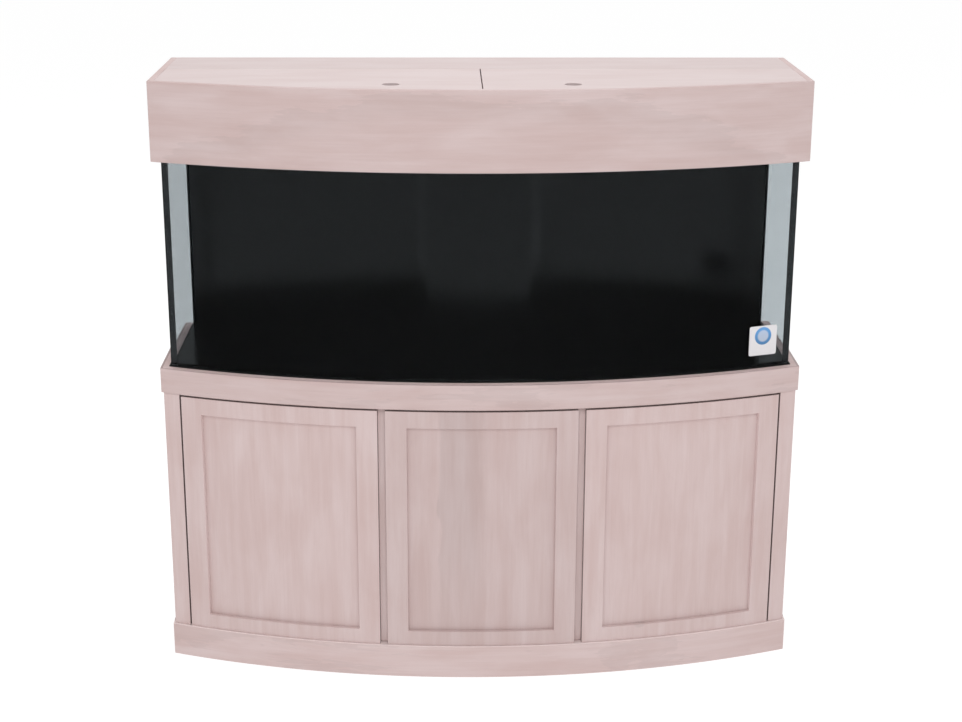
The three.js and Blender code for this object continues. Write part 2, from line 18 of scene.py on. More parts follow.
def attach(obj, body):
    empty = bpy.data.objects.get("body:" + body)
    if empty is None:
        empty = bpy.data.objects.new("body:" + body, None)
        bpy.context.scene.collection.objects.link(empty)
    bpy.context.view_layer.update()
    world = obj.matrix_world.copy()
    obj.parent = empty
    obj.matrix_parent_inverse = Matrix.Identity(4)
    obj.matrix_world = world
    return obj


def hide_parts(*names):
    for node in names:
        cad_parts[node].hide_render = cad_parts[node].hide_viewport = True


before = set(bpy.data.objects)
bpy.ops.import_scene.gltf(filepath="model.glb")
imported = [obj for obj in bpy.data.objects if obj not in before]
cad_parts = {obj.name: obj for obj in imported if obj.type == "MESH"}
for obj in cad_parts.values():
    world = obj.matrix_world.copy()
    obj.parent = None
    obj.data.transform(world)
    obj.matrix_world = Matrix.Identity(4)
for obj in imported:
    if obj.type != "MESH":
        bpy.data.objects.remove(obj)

LOG = logging.getLogger("aquarium")
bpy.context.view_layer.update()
SIDES = {"left": -1.0, "right": 1.0}
GAP = 0.0003
BOW_CENTRE_Y = 2.2951
BACK_Y = 0.3305
TANK_HALF = 0.9144
TANK_RADIUS = 2.5956
FINE_STEP = math.radians(0.3)

Point2 = tuple[float, float]
Colour = tuple[float, float, float]
Place = Callable[[float, float, float], Vector]
Filled = Callable[[int, int, int], bool]


# ---- shader tools


class Value:
    """A number socket in a shader that takes part in arithmetic."""

    def __init__(self, tree: "ShaderTree", socket: bpy.types.NodeSocket) -> None:
        """Keep the tree and the socket."""
        self.tree = tree
        self.socket = socket

    def _maths(self, operation: str, first: object, second: object) -> "Value":
        """Add one Math node.

        Args:
            operation: The node's operation.
            first: A number or Value.
            second: A number or Value.

        Returns:
            The node's result.
        """
        settings = {"operation": operation}
        node = self.tree.node("ShaderNodeMath", settings, {0: first, 1: second})
        return Value(self.tree, node.outputs[0])

    def __add__(self, other: object) -> "Value":
        """Sum."""
        return self._maths("ADD", self, other)

    def __sub__(self, other: object) -> "Value":
        """Difference."""
        return self._maths("SUBTRACT", self, other)

    def __rsub__(self, other: object) -> "Value":
        """Difference, reflected."""
        return self._maths("SUBTRACT", other, self)

    def __mul__(self, other: object) -> "Value":
        """Product."""
        return self._maths("MULTIPLY", self, other)

    __radd__, __rmul__ = __add__, __mul__

    def __pow__(self, other: object) -> "Value":
        """Power."""
        return self._maths("POWER", self, other)

    def bearing(self, other: "Value") -> "Value":
        """Angle whose tangent is this over the other."""
        return self._maths("ARCTAN2", self, other)

    def step(self, low: float, high: float) -> "Value":
        """Smooth step from 0 at low to 1 at high.

        Args:
            low: Where the step starts.
            high: Where it ends.

        Returns:
            The stepped value.
        """
        node = self.tree.node(
            "ShaderNodeMapRange",
            {"interpolation_type": "SMOOTHSTEP"},
            {0: self, 1: low, 2: high, 3: 0.0, 4: 1.0},
        )
        return Value(self.tree, node.outputs[0])


class ShaderTree:
    """Builds the nodes of one material, or of the world."""

    def __init__(self, name: str, world: bpy.types.World | None = None) -> None:
        """Empty the world's nodes, or make an empty node material of that name."""
        self.material = world or bpy.data.materials.new(name)
        self.material.use_nodes = True
        self.nodes = self.material.node_tree.nodes
        self.links = self.material.node_tree.links
        self.nodes.clear()

    def node(self, kind: str, settings: dict, inputs: dict) -> bpy.types.Node:
        """Add a node.

        Args:
            kind: Its type.
            settings: Attributes, which are set first.
            inputs: Socket names or numbers, with the value or link of each.

        Returns:
            The new node.
        """
        node = self.nodes.new(kind)
        for key, setting in settings.items():
            setattr(node, key, setting)
        for key, given in inputs.items():
            socket = node.inputs[key]
            if isinstance(given, Value):
                self.links.new(given.socket, socket)
            elif isinstance(given, bpy.types.NodeSocket):
                self.links.new(given, socket)
            else:
                socket.default_value = given
        return node

    def object_axes(self) -> tuple[Value, Value, Value]:
        """X, Y and Z of the point, in the row frame."""
        place = self.node("ShaderNodeTexCoord", {}, {}).outputs["Object"]
        split = self.node("ShaderNodeSeparateXYZ", {}, {0: place})
        return tuple(Value(self, output) for output in split.outputs)

    def vector(self, x: object, y: object, z: object) -> bpy.types.NodeSocket:
        """A vector of three values or numbers."""
        return self.node("ShaderNodeCombineXYZ", {}, {0: x, 1: y, 2: z}).outputs[0]

    def noise(
        self, place: bpy.types.NodeSocket, detail: float, rough: float, bend: float = 0.0
    ) -> Value:
        """Fractal noise.

        Args:
            place: Where it is read, already scaled.
            detail: Octaves.
            rough: Strength of the finer octaves.
            bend: Distortion.

        Returns:
            Noise from 0 to 1.
        """
        inputs = {
            "Vector": place,
            "Scale": 1.0,
            "Detail": detail,
            "Roughness": rough,
            "Distortion": bend,
        }
        return Value(self, self.node("ShaderNodeTexNoise", {}, inputs).outputs["Fac"])

    def grit(
        self, scales: Sequence[float], detail: float, rough: float, bend: float = 0.0
    ) -> Value:
        """Fractal noise in the row frame.

        Args:
            scales: How fast it varies along X, Y and Z.
            detail: Octaves.
            rough: Strength of the finer octaves.
            bend: Distortion.

        Returns:
            Noise from 0 to 1.
        """
        place = self.vector(*(axis * scale for axis, scale in zip(self.object_axes(), scales)))
        return self.noise(place, detail, rough, bend)

    def blend(self, share: object, first: object, second: object) -> bpy.types.NodeSocket:
        """Mix two colours.

        Args:
            share: Share of the second.
            first: A colour or a colour socket.
            second: A colour or a colour socket.

        Returns:
            The mixed colour.
        """
        colours = [c if isinstance(c, bpy.types.NodeSocket) else (*c, 1.0) for c in (first, second)]
        settings = {"data_type": "RGBA", "clamp_factor": True}
        node = self.node("ShaderNodeMix", settings, {0: share, 6: colours[0], 7: colours[1]})
        return node.outputs[2]

    def edges(self, radius: float) -> Value:
        """How near the point is to a sharp edge.

        Args:
            radius: Width of the edge zone, in metres.

        Returns:
            About 1 on an edge, and 0 on a flat.
        """
        soft = self.node("ShaderNodeBevel", {"samples": 4}, {"Radius": radius}).outputs[0]
        true = self.node("ShaderNodeNewGeometry", {}, {}).outputs["Normal"]
        dot = self.node("ShaderNodeVectorMath", {"operation": "DOT_PRODUCT"}, {0: soft, 1: true})
        return (1.0 - Value(self, dot.outputs["Value"])).step(0.015, 0.22)

    def bump(self, height: Value, strength: float, distance: float) -> bpy.types.NodeSocket:
        """A normal raised by a height.

        Args:
            height: The height, 0 to 1.
            strength: How strongly it shows.
            distance: Height of 1, in metres.

        Returns:
            The normal.
        """
        inputs = {"Height": height, "Strength": strength, "Distance": distance}
        return self.node("ShaderNodeBump", {}, inputs).outputs[0]

    def surface(
        self, colour: object, roughness: object, normal: object = None, **more: object
    ) -> bpy.types.Material:
        """Close the material with a Principled surface.

        Args:
            colour: Its base colour.
            roughness: Its roughness.
            normal: Its normal, if it is bumped.
            more: Its other sockets, with _ for each space.

        Returns:
            The finished material.
        """
        inputs = {"Base Color": colour, "Roughness": roughness}
        inputs.update({key.replace("_", " "): given for key, given in more.items()})
        if normal:
            inputs["Normal"] = normal
        shader = self.node("ShaderNodeBsdfPrincipled", {}, inputs)
        self.node("ShaderNodeOutputMaterial", {}, {0: shader.outputs[0]})
        return self.material


# ---- finishes


class Grain(Enum):
    """Which way a board's grain runs."""

    BOW = "along the bowed front"
    WIDTH = "from left to right"
    DEPTH = "from front to back"
    UPRIGHT = "up and down, laid out along the bow"


class Figure(Enum):
    """The large greyer figure in a board, if any."""

    NONE = "no large figure"
    ISLANDS = "small feathery islands along the board"
    ARCH = "a broad arch, crisp above and fading below"
    BAND = "one ragged band that runs up the door"


@dataclass(frozen=True)
class Whitewash:
    """Whitewashed wood: a rosy board under a thin milky stain, with greyer figure."""

    name: str
    grain: Grain
    seed: float
    figure: Figure = Figure.ISLANDS
    pale: Colour = (0.668, 0.540, 0.531)
    blush: Colour = (0.590, 0.441, 0.422)
    grey: Colour = (0.350, 0.284, 0.277)
    strength: float = 0.13
    tone: float = 1.0
    roughness: float = 0.55
    sheen: float = 0.4
    shade: tuple[float, ...] = ()
    rim: tuple[float, ...] = ()
    lips: tuple[float, ...] = ()
    knot: tuple[float, ...] = ()
    crest: float = 0.0

    def axes(self, tree: ShaderTree) -> tuple[Value, Value, Value]:
        """Distances along, across and through the board.

        Args:
            tree: The material's builder.

        Returns:
            The three distances, in metres.
        """
        x, y, z = tree.object_axes()
        if self.grain is Grain.WIDTH:
            return x, y, z
        if self.grain is Grain.DEPTH:
            return y, z, x
        ahead = BOW_CENTRE_Y - y
        along = x.bearing(ahead) * TANK_RADIUS
        outward = (x * x + ahead * ahead) ** 0.5
        if self.grain is Grain.BOW:
            return along, z, outward
        return z, along, outward

    def figure_mask(self, along: Value, across: Value, isle: Value, feather: Value) -> Value:
        """Where the greyer figure lies.

        Args:
            along: Distance along the grain.
            across: Distance across it.
            isle: Slow noise along the grain.
            feather: Finer noise along the grain.

        Returns:
            The share of grey, 0 to 1.
        """
        if self.figure is Figure.NONE:
            return isle * 0.0
        if self.figure is Figure.ARCH:
            crown = 1.768 - along * along * 0.27
            below = crown + (isle - 0.5) * 0.17 + (feather - 0.5) * 0.09 - across
            return below.step(0.0, 0.004) * (1.0 - below.step(0.01, 0.11) * 0.85)
        if self.figure is Figure.BAND:
            left = across + 0.125 + (isle - 0.5) * 0.11 + (feather - 0.5) * 0.03
            right = across - 0.005 + (feather - 0.5) * 0.05
            fade = (along + (isle - 0.5) * 0.2).step(0.12, 0.55) * 0.75 + 0.25
            return left.step(0.0, 0.012) * (1.0 - right.step(-0.035, 0.03)) * fade
        mass = isle * 0.72 + feather * 0.28
        return mass.step(0.545, 0.556) * (1.0 - mass.step(0.57, 0.66) * 0.6)

    def painted_border_shade(self, along: Value, across: Value) -> Value:
        """Painted shade along the borders of a recessed panel, where the recess is shaded: under
        the rail, along the foot and at the ends.

        Args:
            along: Height on the panel.
            across: Distance along the bow.

        Returns:
            The share of painted shade, 0 to 1.
        """
        left, right, low, high = self.shade
        top = along.step(high - 0.06, high - 0.008)
        foot = 1.0 - along.step(low, low + 0.012)
        ends = 1.0 - across.step(left, left + 0.014) + across.step(right - 0.014, right)
        return top * 0.07 + foot * 0.06 + ends * 0.12

    def painted_lip_light(self, along: Value, across: Value, through: Value) -> Value:
        """Painted light on a frame's recessed lip faces, strongest at its ends and over its window,
        lifting the shade of the recess.

        Args:
            along: Height.
            across: Distance along the bow.
            through: Radius.

        Returns:
            The share of painted light, 0 to 1.
        """
        left, right, window_high, face = self.lips
        ends = 1.0 - across.step(left, left + 0.006) + across.step(right - 0.006, right)
        over = along.step(window_high - 0.002, window_high - 0.0005)
        behind = 1.0 - through.step(face - 0.004, face - 0.0006)
        return behind * ((ends + over).step(0.0, 1.0) * 0.72 + 0.23)

    def painted_rim_shade(self, along: Value, across: Value) -> Value:
        """Painted shade on the outer edge faces of a door or stile, which darkens the gaps between
        them.

        Args:
            along: Height.
            across: Distance along the bow.

        Returns:
            The share of painted shade, 0 to 1.
        """
        left, right, low, high = self.rim
        ends = 1.0 - across.step(left, left + 0.0008) + across.step(right - 0.0008, right)
        return ends + along.step(high - 0.0008, high) + (1.0 - along.step(low, low + 0.0008))

    def build(self) -> bpy.types.Material:
        """Make the material."""
        tree = ShaderTree(self.name)
        along, across, through = self.axes(tree)

        def layer(lengthwise: float, crosswise: float, shift: float) -> bpy.types.NodeSocket:
            """Stretched place for a layer of the figure."""
            return tree.vector(
                along * lengthwise + (self.seed * 1.7 + shift),
                across * crosswise + self.seed * 3.1,
                through * crosswise + shift,
            )

        def tint(colour: Colour) -> Colour:
            """A colour at this board's tone."""
            return tuple(min(0.95, c * self.tone) for c in colour)

        upright = self.grain is Grain.UPRIGHT
        fine = tree.noise(layer(9.0, 330.0, 0.0), 3.0, 0.55)
        hair = tree.noise(layer(40.0, 1400.0, 4.0), 2.0, 0.5)
        ribbon = tree.noise(layer(2.4, 34.0 if upright else 60.0, 9.0), 4.0, 0.6, 0.3)
        cloud = tree.noise(layer(3.4, 8.0 if upright else 13.0, 15.0), 4.0, 0.55, 0.5)
        isle = tree.noise(layer(2.6, 9.0, 27.0), 3.0, 0.55, 0.6)
        feather = tree.noise(layer(11.0, 75.0, 41.0), 4.0, 0.6, 0.8)
        worn = tree.edges(0.0022) * tree.noise(layer(30.0, 60.0, 33.0), 3.0, 0.6).step(0.35, 0.65)

        broad = 0.48 if upright else 0.62
        milk = cloud.step(0.3, 0.7) * broad + ribbon.step(0.28, 0.72) * (1.0 - broad)
        colour = tree.blend(milk, tint(self.blush), tint(self.pale))
        mask = self.figure_mask(along, across, isle, feather)
        colour = tree.blend(mask * self.strength, colour, tint(self.grey))
        dark = tuple(c * 0.80 for c in tint(self.blush))
        colour = tree.blend((1.0 - fine).step(0.42, 0.8) * 0.14, colour, dark)
        colour = tree.blend((1.0 - hair).step(0.5, 0.85) * 0.10, colour, dark)
        if self.knot:
            place, height = self.knot
            aside = (across - place + (isle - 0.5) * 0.02) * 45.0
            rise = (along - height + (feather - 0.5) * 0.01) * 100.0
            spot = 1.0 - (aside * aside + rise * rise).step(0.2, 1.0)
            colour = tree.blend(spot * 0.22, colour, tint(self.grey))
        # Painted shade: the panel darkens towards its borders, where the recess shades it; the
        # colour called stain here is this painted shade.
        if self.shade:
            stain = tuple(c * 0.74 for c in tint(self.blush))
            colour = tree.blend(self.painted_border_shade(along, across), colour, stain)
        # Painted light: the frame's recessed faces are paled to lift the shade in the recess.
        if self.lips:
            share = self.painted_lip_light(along, across, through)
            colour = tree.blend(share, colour, PAINTED_LIGHT_TONE)
        # Painted light: the top edge band up to the crest height is paled, as if lit.
        if self.crest:
            colour = tree.blend(across.step(self.crest - 0.002, self.crest), colour, PAINTED_LIGHT_TONE)
        # Painted shade: the edge faces along the gaps are darkened.
        if self.rim:
            painted_gap_shade = (0.10, 0.07, 0.065)
            colour = tree.blend(self.painted_rim_shade(along, across) * 0.72, colour, painted_gap_shade)
        light = tuple(min(0.95, c * 1.08) for c in tint(self.pale))
        colour = tree.blend(worn * 0.45, colour, light)
        relief = fine * 0.6 + hair * 0.25 + ribbon * 0.15
        roughness = self.roughness + (fine - 0.5) * 0.16 + (ribbon - 0.5) * 0.1
        normal = tree.bump(relief, 0.15, 0.0006)
        return tree.surface(colour, roughness, normal, Specular_IOR_Level=self.sheen)


@dataclass(frozen=True)
class BlackSheet:
    """Glossy black acrylic with a film of dust and faint wipe marks."""

    name: str
    tone: float = 0.0012
    roughness: float = 0.14
    gloss: float = 0.163

    def build(self) -> bpy.types.Material:
        """Make the material."""
        tree = ShaderTree(self.name)
        wipe = tree.grit((5.0, 5.0, 14.0), 4.0, 0.6, 0.8)
        dust = tree.grit((900.0,) * 3, 2.0, 0.5)
        edge = tree.edges(0.0015)
        deep = (self.tone,) * 3
        film = (self.tone * 1.7, self.tone * 1.75, self.tone * 1.85)
        colour = tree.blend(wipe.step(0.4, 0.7) * 0.5 + dust.step(0.66, 0.8) * 0.3, deep, film)
        colour = tree.blend(edge * 0.4, colour, (0.03, 0.03, 0.032))
        roughness = self.roughness + wipe * 0.05 + dust * 0.02
        normal = tree.bump(wipe, 0.02, 0.0004)
        return tree.surface(colour, roughness, normal, Specular_IOR_Level=self.gloss)


@dataclass(frozen=True)
class ClearPane:
    """Clear plate glass with a faint blue-grey body, brighter at its ground edges."""

    name: str
    tint: Colour = (0.915, 0.962, 0.985)
    index: float = 1.45

    def build(self) -> bpy.types.Material:
        """Make the material."""
        tree = ShaderTree(self.name)
        smear = tree.grit((4.0, 4.0, 9.0), 4.0, 0.6, 1.0)
        edge = tree.edges(0.0015)
        ground = tuple(c * 0.82 for c in self.tint)
        colour = tree.blend(edge * 0.5, self.tint, ground)
        roughness = smear.step(0.55, 0.8) * 0.012 + edge * 0.05
        return tree.surface(colour, roughness, IOR=self.index, Transmission_Weight=1.0)


@dataclass(frozen=True)
class Rubbery:
    """Black sealant or foam: matt, a little uneven, with a fine skin."""

    name: str
    tone: Colour
    roughness: float
    grain: float
    relief: float

    def build(self) -> bpy.types.Material:
        """Make the material."""
        tree = ShaderTree(self.name)
        skin = tree.grit((self.grain,) * 3, 4.0, 0.6)
        slow = tree.grit((18.0,) * 3, 3.0, 0.5)
        paler = tuple(c * 1.8 + 0.002 for c in self.tone)
        colour = tree.blend(skin.step(0.4, 0.75) * 0.6, self.tone, paler)
        normal = tree.bump(skin * 0.6 + slow * 0.4, self.relief, 0.0008)
        roughness = self.roughness + (slow - 0.5) * 0.2
        return tree.surface(colour, roughness, normal, Specular_IOR_Level=0.35)


@dataclass(frozen=True)
class Steel:
    """Plain turned or rolled steel with fine lines and brighter edges."""

    name: str
    tone: Colour = (0.48, 0.485, 0.495)
    roughness: float = 0.34

    def build(self) -> bpy.types.Material:
        """Make the material."""
        tree = ShaderTree(self.name)
        lines = tree.grit((60.0, 60.0, 2600.0), 3.0, 0.5)
        stain = tree.grit((70.0,) * 3, 4.0, 0.6)
        edge = tree.edges(0.0008)
        dull = tuple(c * 0.72 for c in self.tone)
        colour = tree.blend(stain.step(0.45, 0.75) * 0.5, self.tone, dull)
        colour = tree.blend(edge * 0.5, colour, (0.72, 0.72, 0.73))
        roughness = self.roughness + (lines - 0.5) * 0.2 + stain * 0.08
        return tree.surface(colour, roughness, tree.bump(lines, 0.12, 0.0002), Metallic=1.0)


@dataclass(frozen=True)
class PipePlastic:
    """Dark moulded plastic with a fine spark texture."""

    name: str
    tone: Colour = (0.018, 0.019, 0.022)

    def build(self) -> bpy.types.Material:
        """Make the material."""
        tree = ShaderTree(self.name)
        spark = tree.grit((1800.0,) * 3, 2.0, 0.6)
        scuff = tree.grit((30.0, 30.0, 12.0), 4.0, 0.6, 0.6)
        edge = tree.edges(0.0012)
        colour = tree.blend(scuff.step(0.5, 0.75) * 0.5, self.tone, (0.03, 0.031, 0.034))
        colour = tree.blend(edge * 0.5, colour, (0.06, 0.06, 0.064))
        return tree.surface(colour, 0.45 + scuff * 0.15, tree.bump(spark, 0.2, 0.0002))


@dataclass(frozen=True)
class LabelPrint:
    """A plain vinyl label: a pale ground with one soft blue ring round a paler disc."""

    name: str
    centre: tuple[float, float]
    middle_z: float
    ground: Colour = (0.785, 0.762, 0.778)
    disc: Colour = (0.075, 0.225, 0.46)
    radius: float = 0.027

    def build(self) -> bpy.types.Material:
        """Make the material."""
        tree = ShaderTree(self.name)
        x, y, z = tree.object_axes()
        level = ((x - self.centre[0]) * (x - self.centre[0])
                 + (y - self.centre[1]) * (y - self.centre[1]))
        rise = z - (self.middle_z + 0.014)
        reach = (level + rise * rise) ** 0.5
        inside = 1.0 - reach.step(self.radius - 0.0008, self.radius + 0.0008)
        fade = (rise * 18.0 + 0.5).step(0.0, 1.0)
        fleck = tree.grit((700.0,) * 3, 2.0, 0.5)
        paler = tuple(min(1.0, c * 1.9 + 0.03) for c in self.disc)
        print_colour = tree.blend(fade * 0.6, self.disc, paler)
        core = 1.0 - reach.step(self.radius * 0.55, self.radius * 0.75)
        print_colour = tree.blend(core * 0.55, print_colour, self.ground)
        ground = tree.blend(fleck * 0.3, self.ground, tuple(c * 0.95 for c in self.ground))
        colour = tree.blend(inside, ground, print_colour)
        return tree.surface(colour, 0.32 + fleck * 0.1, tree.bump(fleck, 0.05, 0.0001))


class Finishes:
    """Makes each finish once and hands out its material."""

    def __init__(self) -> None:
        """Start with none made."""
        self.made: dict[str, bpy.types.Material] = {}

    def get(self, finish: object) -> bpy.types.Material:
        """The finish's material, made on first use."""
        if finish.name not in self.made:
            self.made[finish.name] = finish.build()
        return self.made[finish.name]


STEEL = Steel("plain_steel")
GLASS_FRONT = ClearPane("front_glass", index=1.115)
GLASS_SIDE = ClearPane("side_glass", index=1.40)
BLACK_BACK = BlackSheet("black_back_sheet")
BLACK_FLOOR = BlackSheet("black_floor_sheet", roughness=0.16)
BLACK_BOX = BlackSheet("black_overflow_sheet", roughness=0.16)
SEALANT = Rubbery("black_sealant", (0.005, 0.005, 0.0055), 0.42, 260.0, 0.15)
MAT_FOAM = Rubbery("mat_foam", (0.0025, 0.0025, 0.0025), 0.9, 900.0, 0.3)
PIPE = PipePlastic("dark_pipe")
INNER_TONE = 0.82
# Pale colour painted on shaded lips and edges as painted light.
PAINTED_LIGHT_TONE = (0.90, 0.76, 0.745)
# Boards seen from above: the paler pale and blush are painted light for the stronger light on the
# tops; sheen and roughness are their gloss.
TOP_BOARD_PAINTED_LIGHT = {
    "figure": Figure.NONE,
    "pale": (0.710, 0.606, 0.600),
    "blush": (0.656, 0.536, 0.525),
    "sheen": 0.6,
    "roughness": 0.5,
}


# ---- mesh building


def bow_point(radius: float, angle: float, height: float) -> Vector:
    """A point on a bow of that radius."""
    return Vector((radius * math.sin(angle), BOW_CENTRE_Y - radius * math.cos(angle), height))


def angle_at(radius: float, x: float) -> float:
    """The angle at which a bow of that radius passes X."""
    return math.asin(x / radius)


def spread(low: float, high: float, count: int) -> list[float]:
    """Evenly spaced values from low to high, both included."""
    return [low + (high - low) * index / count for index in range(count + 1)]


def bow_arc(radius: float, from_x: float, to_x: float) -> list[Point2]:
    """Plan points along a bow between two X positions."""
    start, end = angle_at(radius, from_x), angle_at(radius, to_x)
    count = max(1, round(abs(end - start) / FINE_STEP))
    points = (bow_point(radius, angle, 0.0) for angle in spread(start, end, count))
    return [(point.x, point.y) for point in points]


def round_loop(x: float, y: float, radius: float, count: int = 48) -> list[Point2]:
    """Plan points round a circle."""
    angles = (math.tau * index / count for index in range(count))
    return [(x + radius * math.cos(angle), y + radius * math.sin(angle)) for angle in angles]


def inset_loop(loop: Sequence[Point2], depth: float) -> list[Point2]:
    """Move a loop to the left of its own direction.

    Args:
        loop: Points in order.
        depth: How far.

    Returns:
        The moved loop.
    """
    moved = []
    total = len(loop)
    for index, here in enumerate(loop):
        before, after = Vector(loop[index - 1]), Vector(loop[(index + 1) % total])
        first = (Vector(here) - before).normalized()
        second = (after - Vector(here)).normalized()
        normal_a, normal_b = Vector((-first.y, first.x)), Vector((-second.y, second.x))
        middle = normal_a + normal_b
        reach = depth * 2.0 / max(0.5, middle.length_squared)
        moved.append((here[0] + middle.x * reach, here[1] + middle.y * reach))
    return moved


def turn(loop: Sequence[Point2], anticlockwise: bool) -> list[Point2]:
    """The loop in the direction asked for."""
    area = sum(a[0] * b[1] - b[0] * a[1] for a, b in zip(loop, [*loop[1:], loop[0]]))
    return list(loop) if (area > 0) == anticlockwise else list(reversed(loop))


def slab_mesh(
    loops: Sequence[Sequence[Point2]], low: float, high: float, ease: float
) -> bmesh.types.BMesh:
    """A flat slab with eased edges and holes.

    Args:
        loops: The outline and then any holes, in plan.
        low: Its underside.
        high: Its top.
        ease: Radius of its edges.

    Returns:
        The mesh.
    """
    mesh = bmesh.new()
    rows = []
    arc = [math.pi / 2 * step / 3 for step in range(4)]
    levels = [(ease * (1 - math.sin(a)), low + ease * (1 - math.cos(a))) for a in arc]
    levels += [(inset, low + high - height) for inset, height in reversed(levels)]
    facing = [turn(loop, index == 0) for index, loop in enumerate(loops)]
    for loop in facing:
        rings = []
        for inset, height in levels:
            ring = inset_loop(loop, inset)
            rings.append([mesh.verts.new((x, y, height)) for x, y in ring])
        rows.append(rings)
        for lower, upper in zip(rings, rings[1:]):
            for index in range(len(loop)):
                after = (index + 1) % len(loop)
                mesh.faces.new((lower[index], lower[after], upper[after], upper[index]))
    for level, flipped in ((0, True), (-1, False)):
        edge = [rings[level] for rings in rows]
        if len(edge) == 1:
            mesh.faces.new(list(reversed(edge[0])) if flipped else edge[0])
            continue
        corners = [vert for ring in edge for vert in ring]
        for triangle in tessellate_polygon([[vert.co for vert in ring] for ring in edge]):
            face = [corners[index] for index in triangle]
            mesh.faces.new(face)
    bmesh.ops.recalc_face_normals(mesh, faces=mesh.faces)
    return mesh


CELL_SIDES = (
    ((1, 0, 0), ((1, 0, 0), (1, 1, 0), (1, 1, 1), (1, 0, 1))),
    ((-1, 0, 0), ((0, 0, 0), (0, 0, 1), (0, 1, 1), (0, 1, 0))),
    ((0, 1, 0), ((0, 1, 0), (0, 1, 1), (1, 1, 1), (1, 1, 0))),
    ((0, -1, 0), ((0, 0, 0), (1, 0, 0), (1, 0, 1), (0, 0, 1))),
    ((0, 0, 1), ((0, 0, 1), (1, 0, 1), (1, 1, 1), (0, 1, 1))),
    ((0, 0, -1), ((0, 0, 0), (0, 1, 0), (1, 1, 0), (1, 0, 0))),
)


def cell_mesh(
    breaks: Sequence[Sequence[float]],
    place: Place,
    ease: float,
    filled: Filled = lambda i, j, k: True,
) -> bmesh.types.BMesh:
    """A solid made of the filled cells of a bent grid, with eased edges.

    Args:
        breaks: The grid's lines along its three directions.
        place: Puts a grid point in the row frame.
        ease: Radius of the edges.
        filled: Says which cells are solid.

    Returns:
        The mesh.
    """
    mesh = bmesh.new()
    counts = [len(line) - 1 for line in breaks]
    made: dict[tuple[int, int, int], bmesh.types.BMVert] = {}

    def corner(key: tuple[int, int, int]) -> bmesh.types.BMVert:
        """The vertex at a grid point, made once."""
        if key not in made:
            made[key] = mesh.verts.new(place(*(breaks[axis][key[axis]] for axis in range(3))))
        return made[key]

    def solid(cell: tuple[int, int, int]) -> bool:
        """Whether a cell is inside the grid and filled."""
        inside = all(0 <= cell[axis] < counts[axis] for axis in range(3))
        return inside and filled(*cell)

    for i in range(counts[0]):
        for j in range(counts[1]):
            for k in range(counts[2]):
                if not solid((i, j, k)):
                    continue
                for step, corners in CELL_SIDES:
                    if solid((i + step[0], j + step[1], k + step[2])):
                        continue
                    mesh.faces.new([corner((i + a, j + b, k + c)) for a, b, c in corners])
    bmesh.ops.recalc_face_normals(mesh, faces=mesh.faces)
    if ease > 0:
        sharp = [e for e in mesh.edges if len(e.link_faces) == 2 and e.calc_face_angle() > 0.5]
        bmesh.ops.bevel(
            mesh, geom=sharp, offset=ease, segments=2, profile=0.5, affect="EDGES",
            clamp_overlap=True,
        )
    return mesh


def straight(u: float, v: float, w: float) -> Vector:
    """Place of a straight grid."""
    return Vector((u, v, w))


def box_mesh(low: Sequence[float], high: Sequence[float], ease: float) -> bmesh.types.BMesh:
    """A straight board between two corners."""
    return cell_mesh([[low[axis], high[axis]] for axis in range(3)], straight, ease)


def curved_board(
    half: float, radii: Sequence[float], heights: Sequence[float], ease: float,
    filled: Filled = lambda i, j, k: True,
) -> bmesh.types.BMesh:
    """A board that follows the bow, with its ends cut square to the back.

    Args:
        half: Half its width.
        radii: Radii of its back, of any steps and of its face.
        heights: Its lower edge, any steps and its upper edge.
        ease: Radius of its edges.
        filled: Says which cells are solid.

    Returns:
        The mesh.
    """
    count = round(2 * angle_at(radii[-1], half) / FINE_STEP)

    def place(u: float, radius: float, height: float) -> Vector:
        """Place of a grid point on the bow."""
        return bow_point(radius, u * angle_at(radius, half), height)

    return cell_mesh([spread(-1.0, 1.0, count), radii, heights], place, ease, filled)


def radial_board(
    span: Point2, radii: Sequence[float], heights: Sequence[float], ease: float
) -> bmesh.types.BMesh:
    """A board that follows the bow, with its ends cut along the radius.

    Args:
        span: Angles of its ends.
        radii: Radii of its back and its face.
        heights: Its lower and upper edges.
        ease: Radius of its edges.

    Returns:
        The mesh.
    """
    count = max(1, round((span[1] - span[0]) / FINE_STEP))
    breaks = [spread(*span, count), radii, heights]
    return cell_mesh(breaks, lambda u, v, w: bow_point(v, u, w), ease)


def side_board(
    ends: Sequence[float], radius: float, back: float, heights: Sequence[float], ease: float
) -> bmesh.types.BMesh:
    """An upright side board, whose front end follows a bow.

    Args:
        ends: X of its two faces.
        radius: Radius of the bow.
        back: Y of its back end.
        heights: Its lower and upper edges.
        ease: Radius of its edges.

    Returns:
        The mesh.
    """

    def place(x: float, depth: float, height: float) -> Vector:
        """Place between the bow and the back end."""
        front = bow_point(radius, angle_at(radius, x), height)
        return Vector((x, front.y + (back - front.y) * depth, height))

    return cell_mesh([sorted(ends), [0.0, 1.0], heights], place, ease)


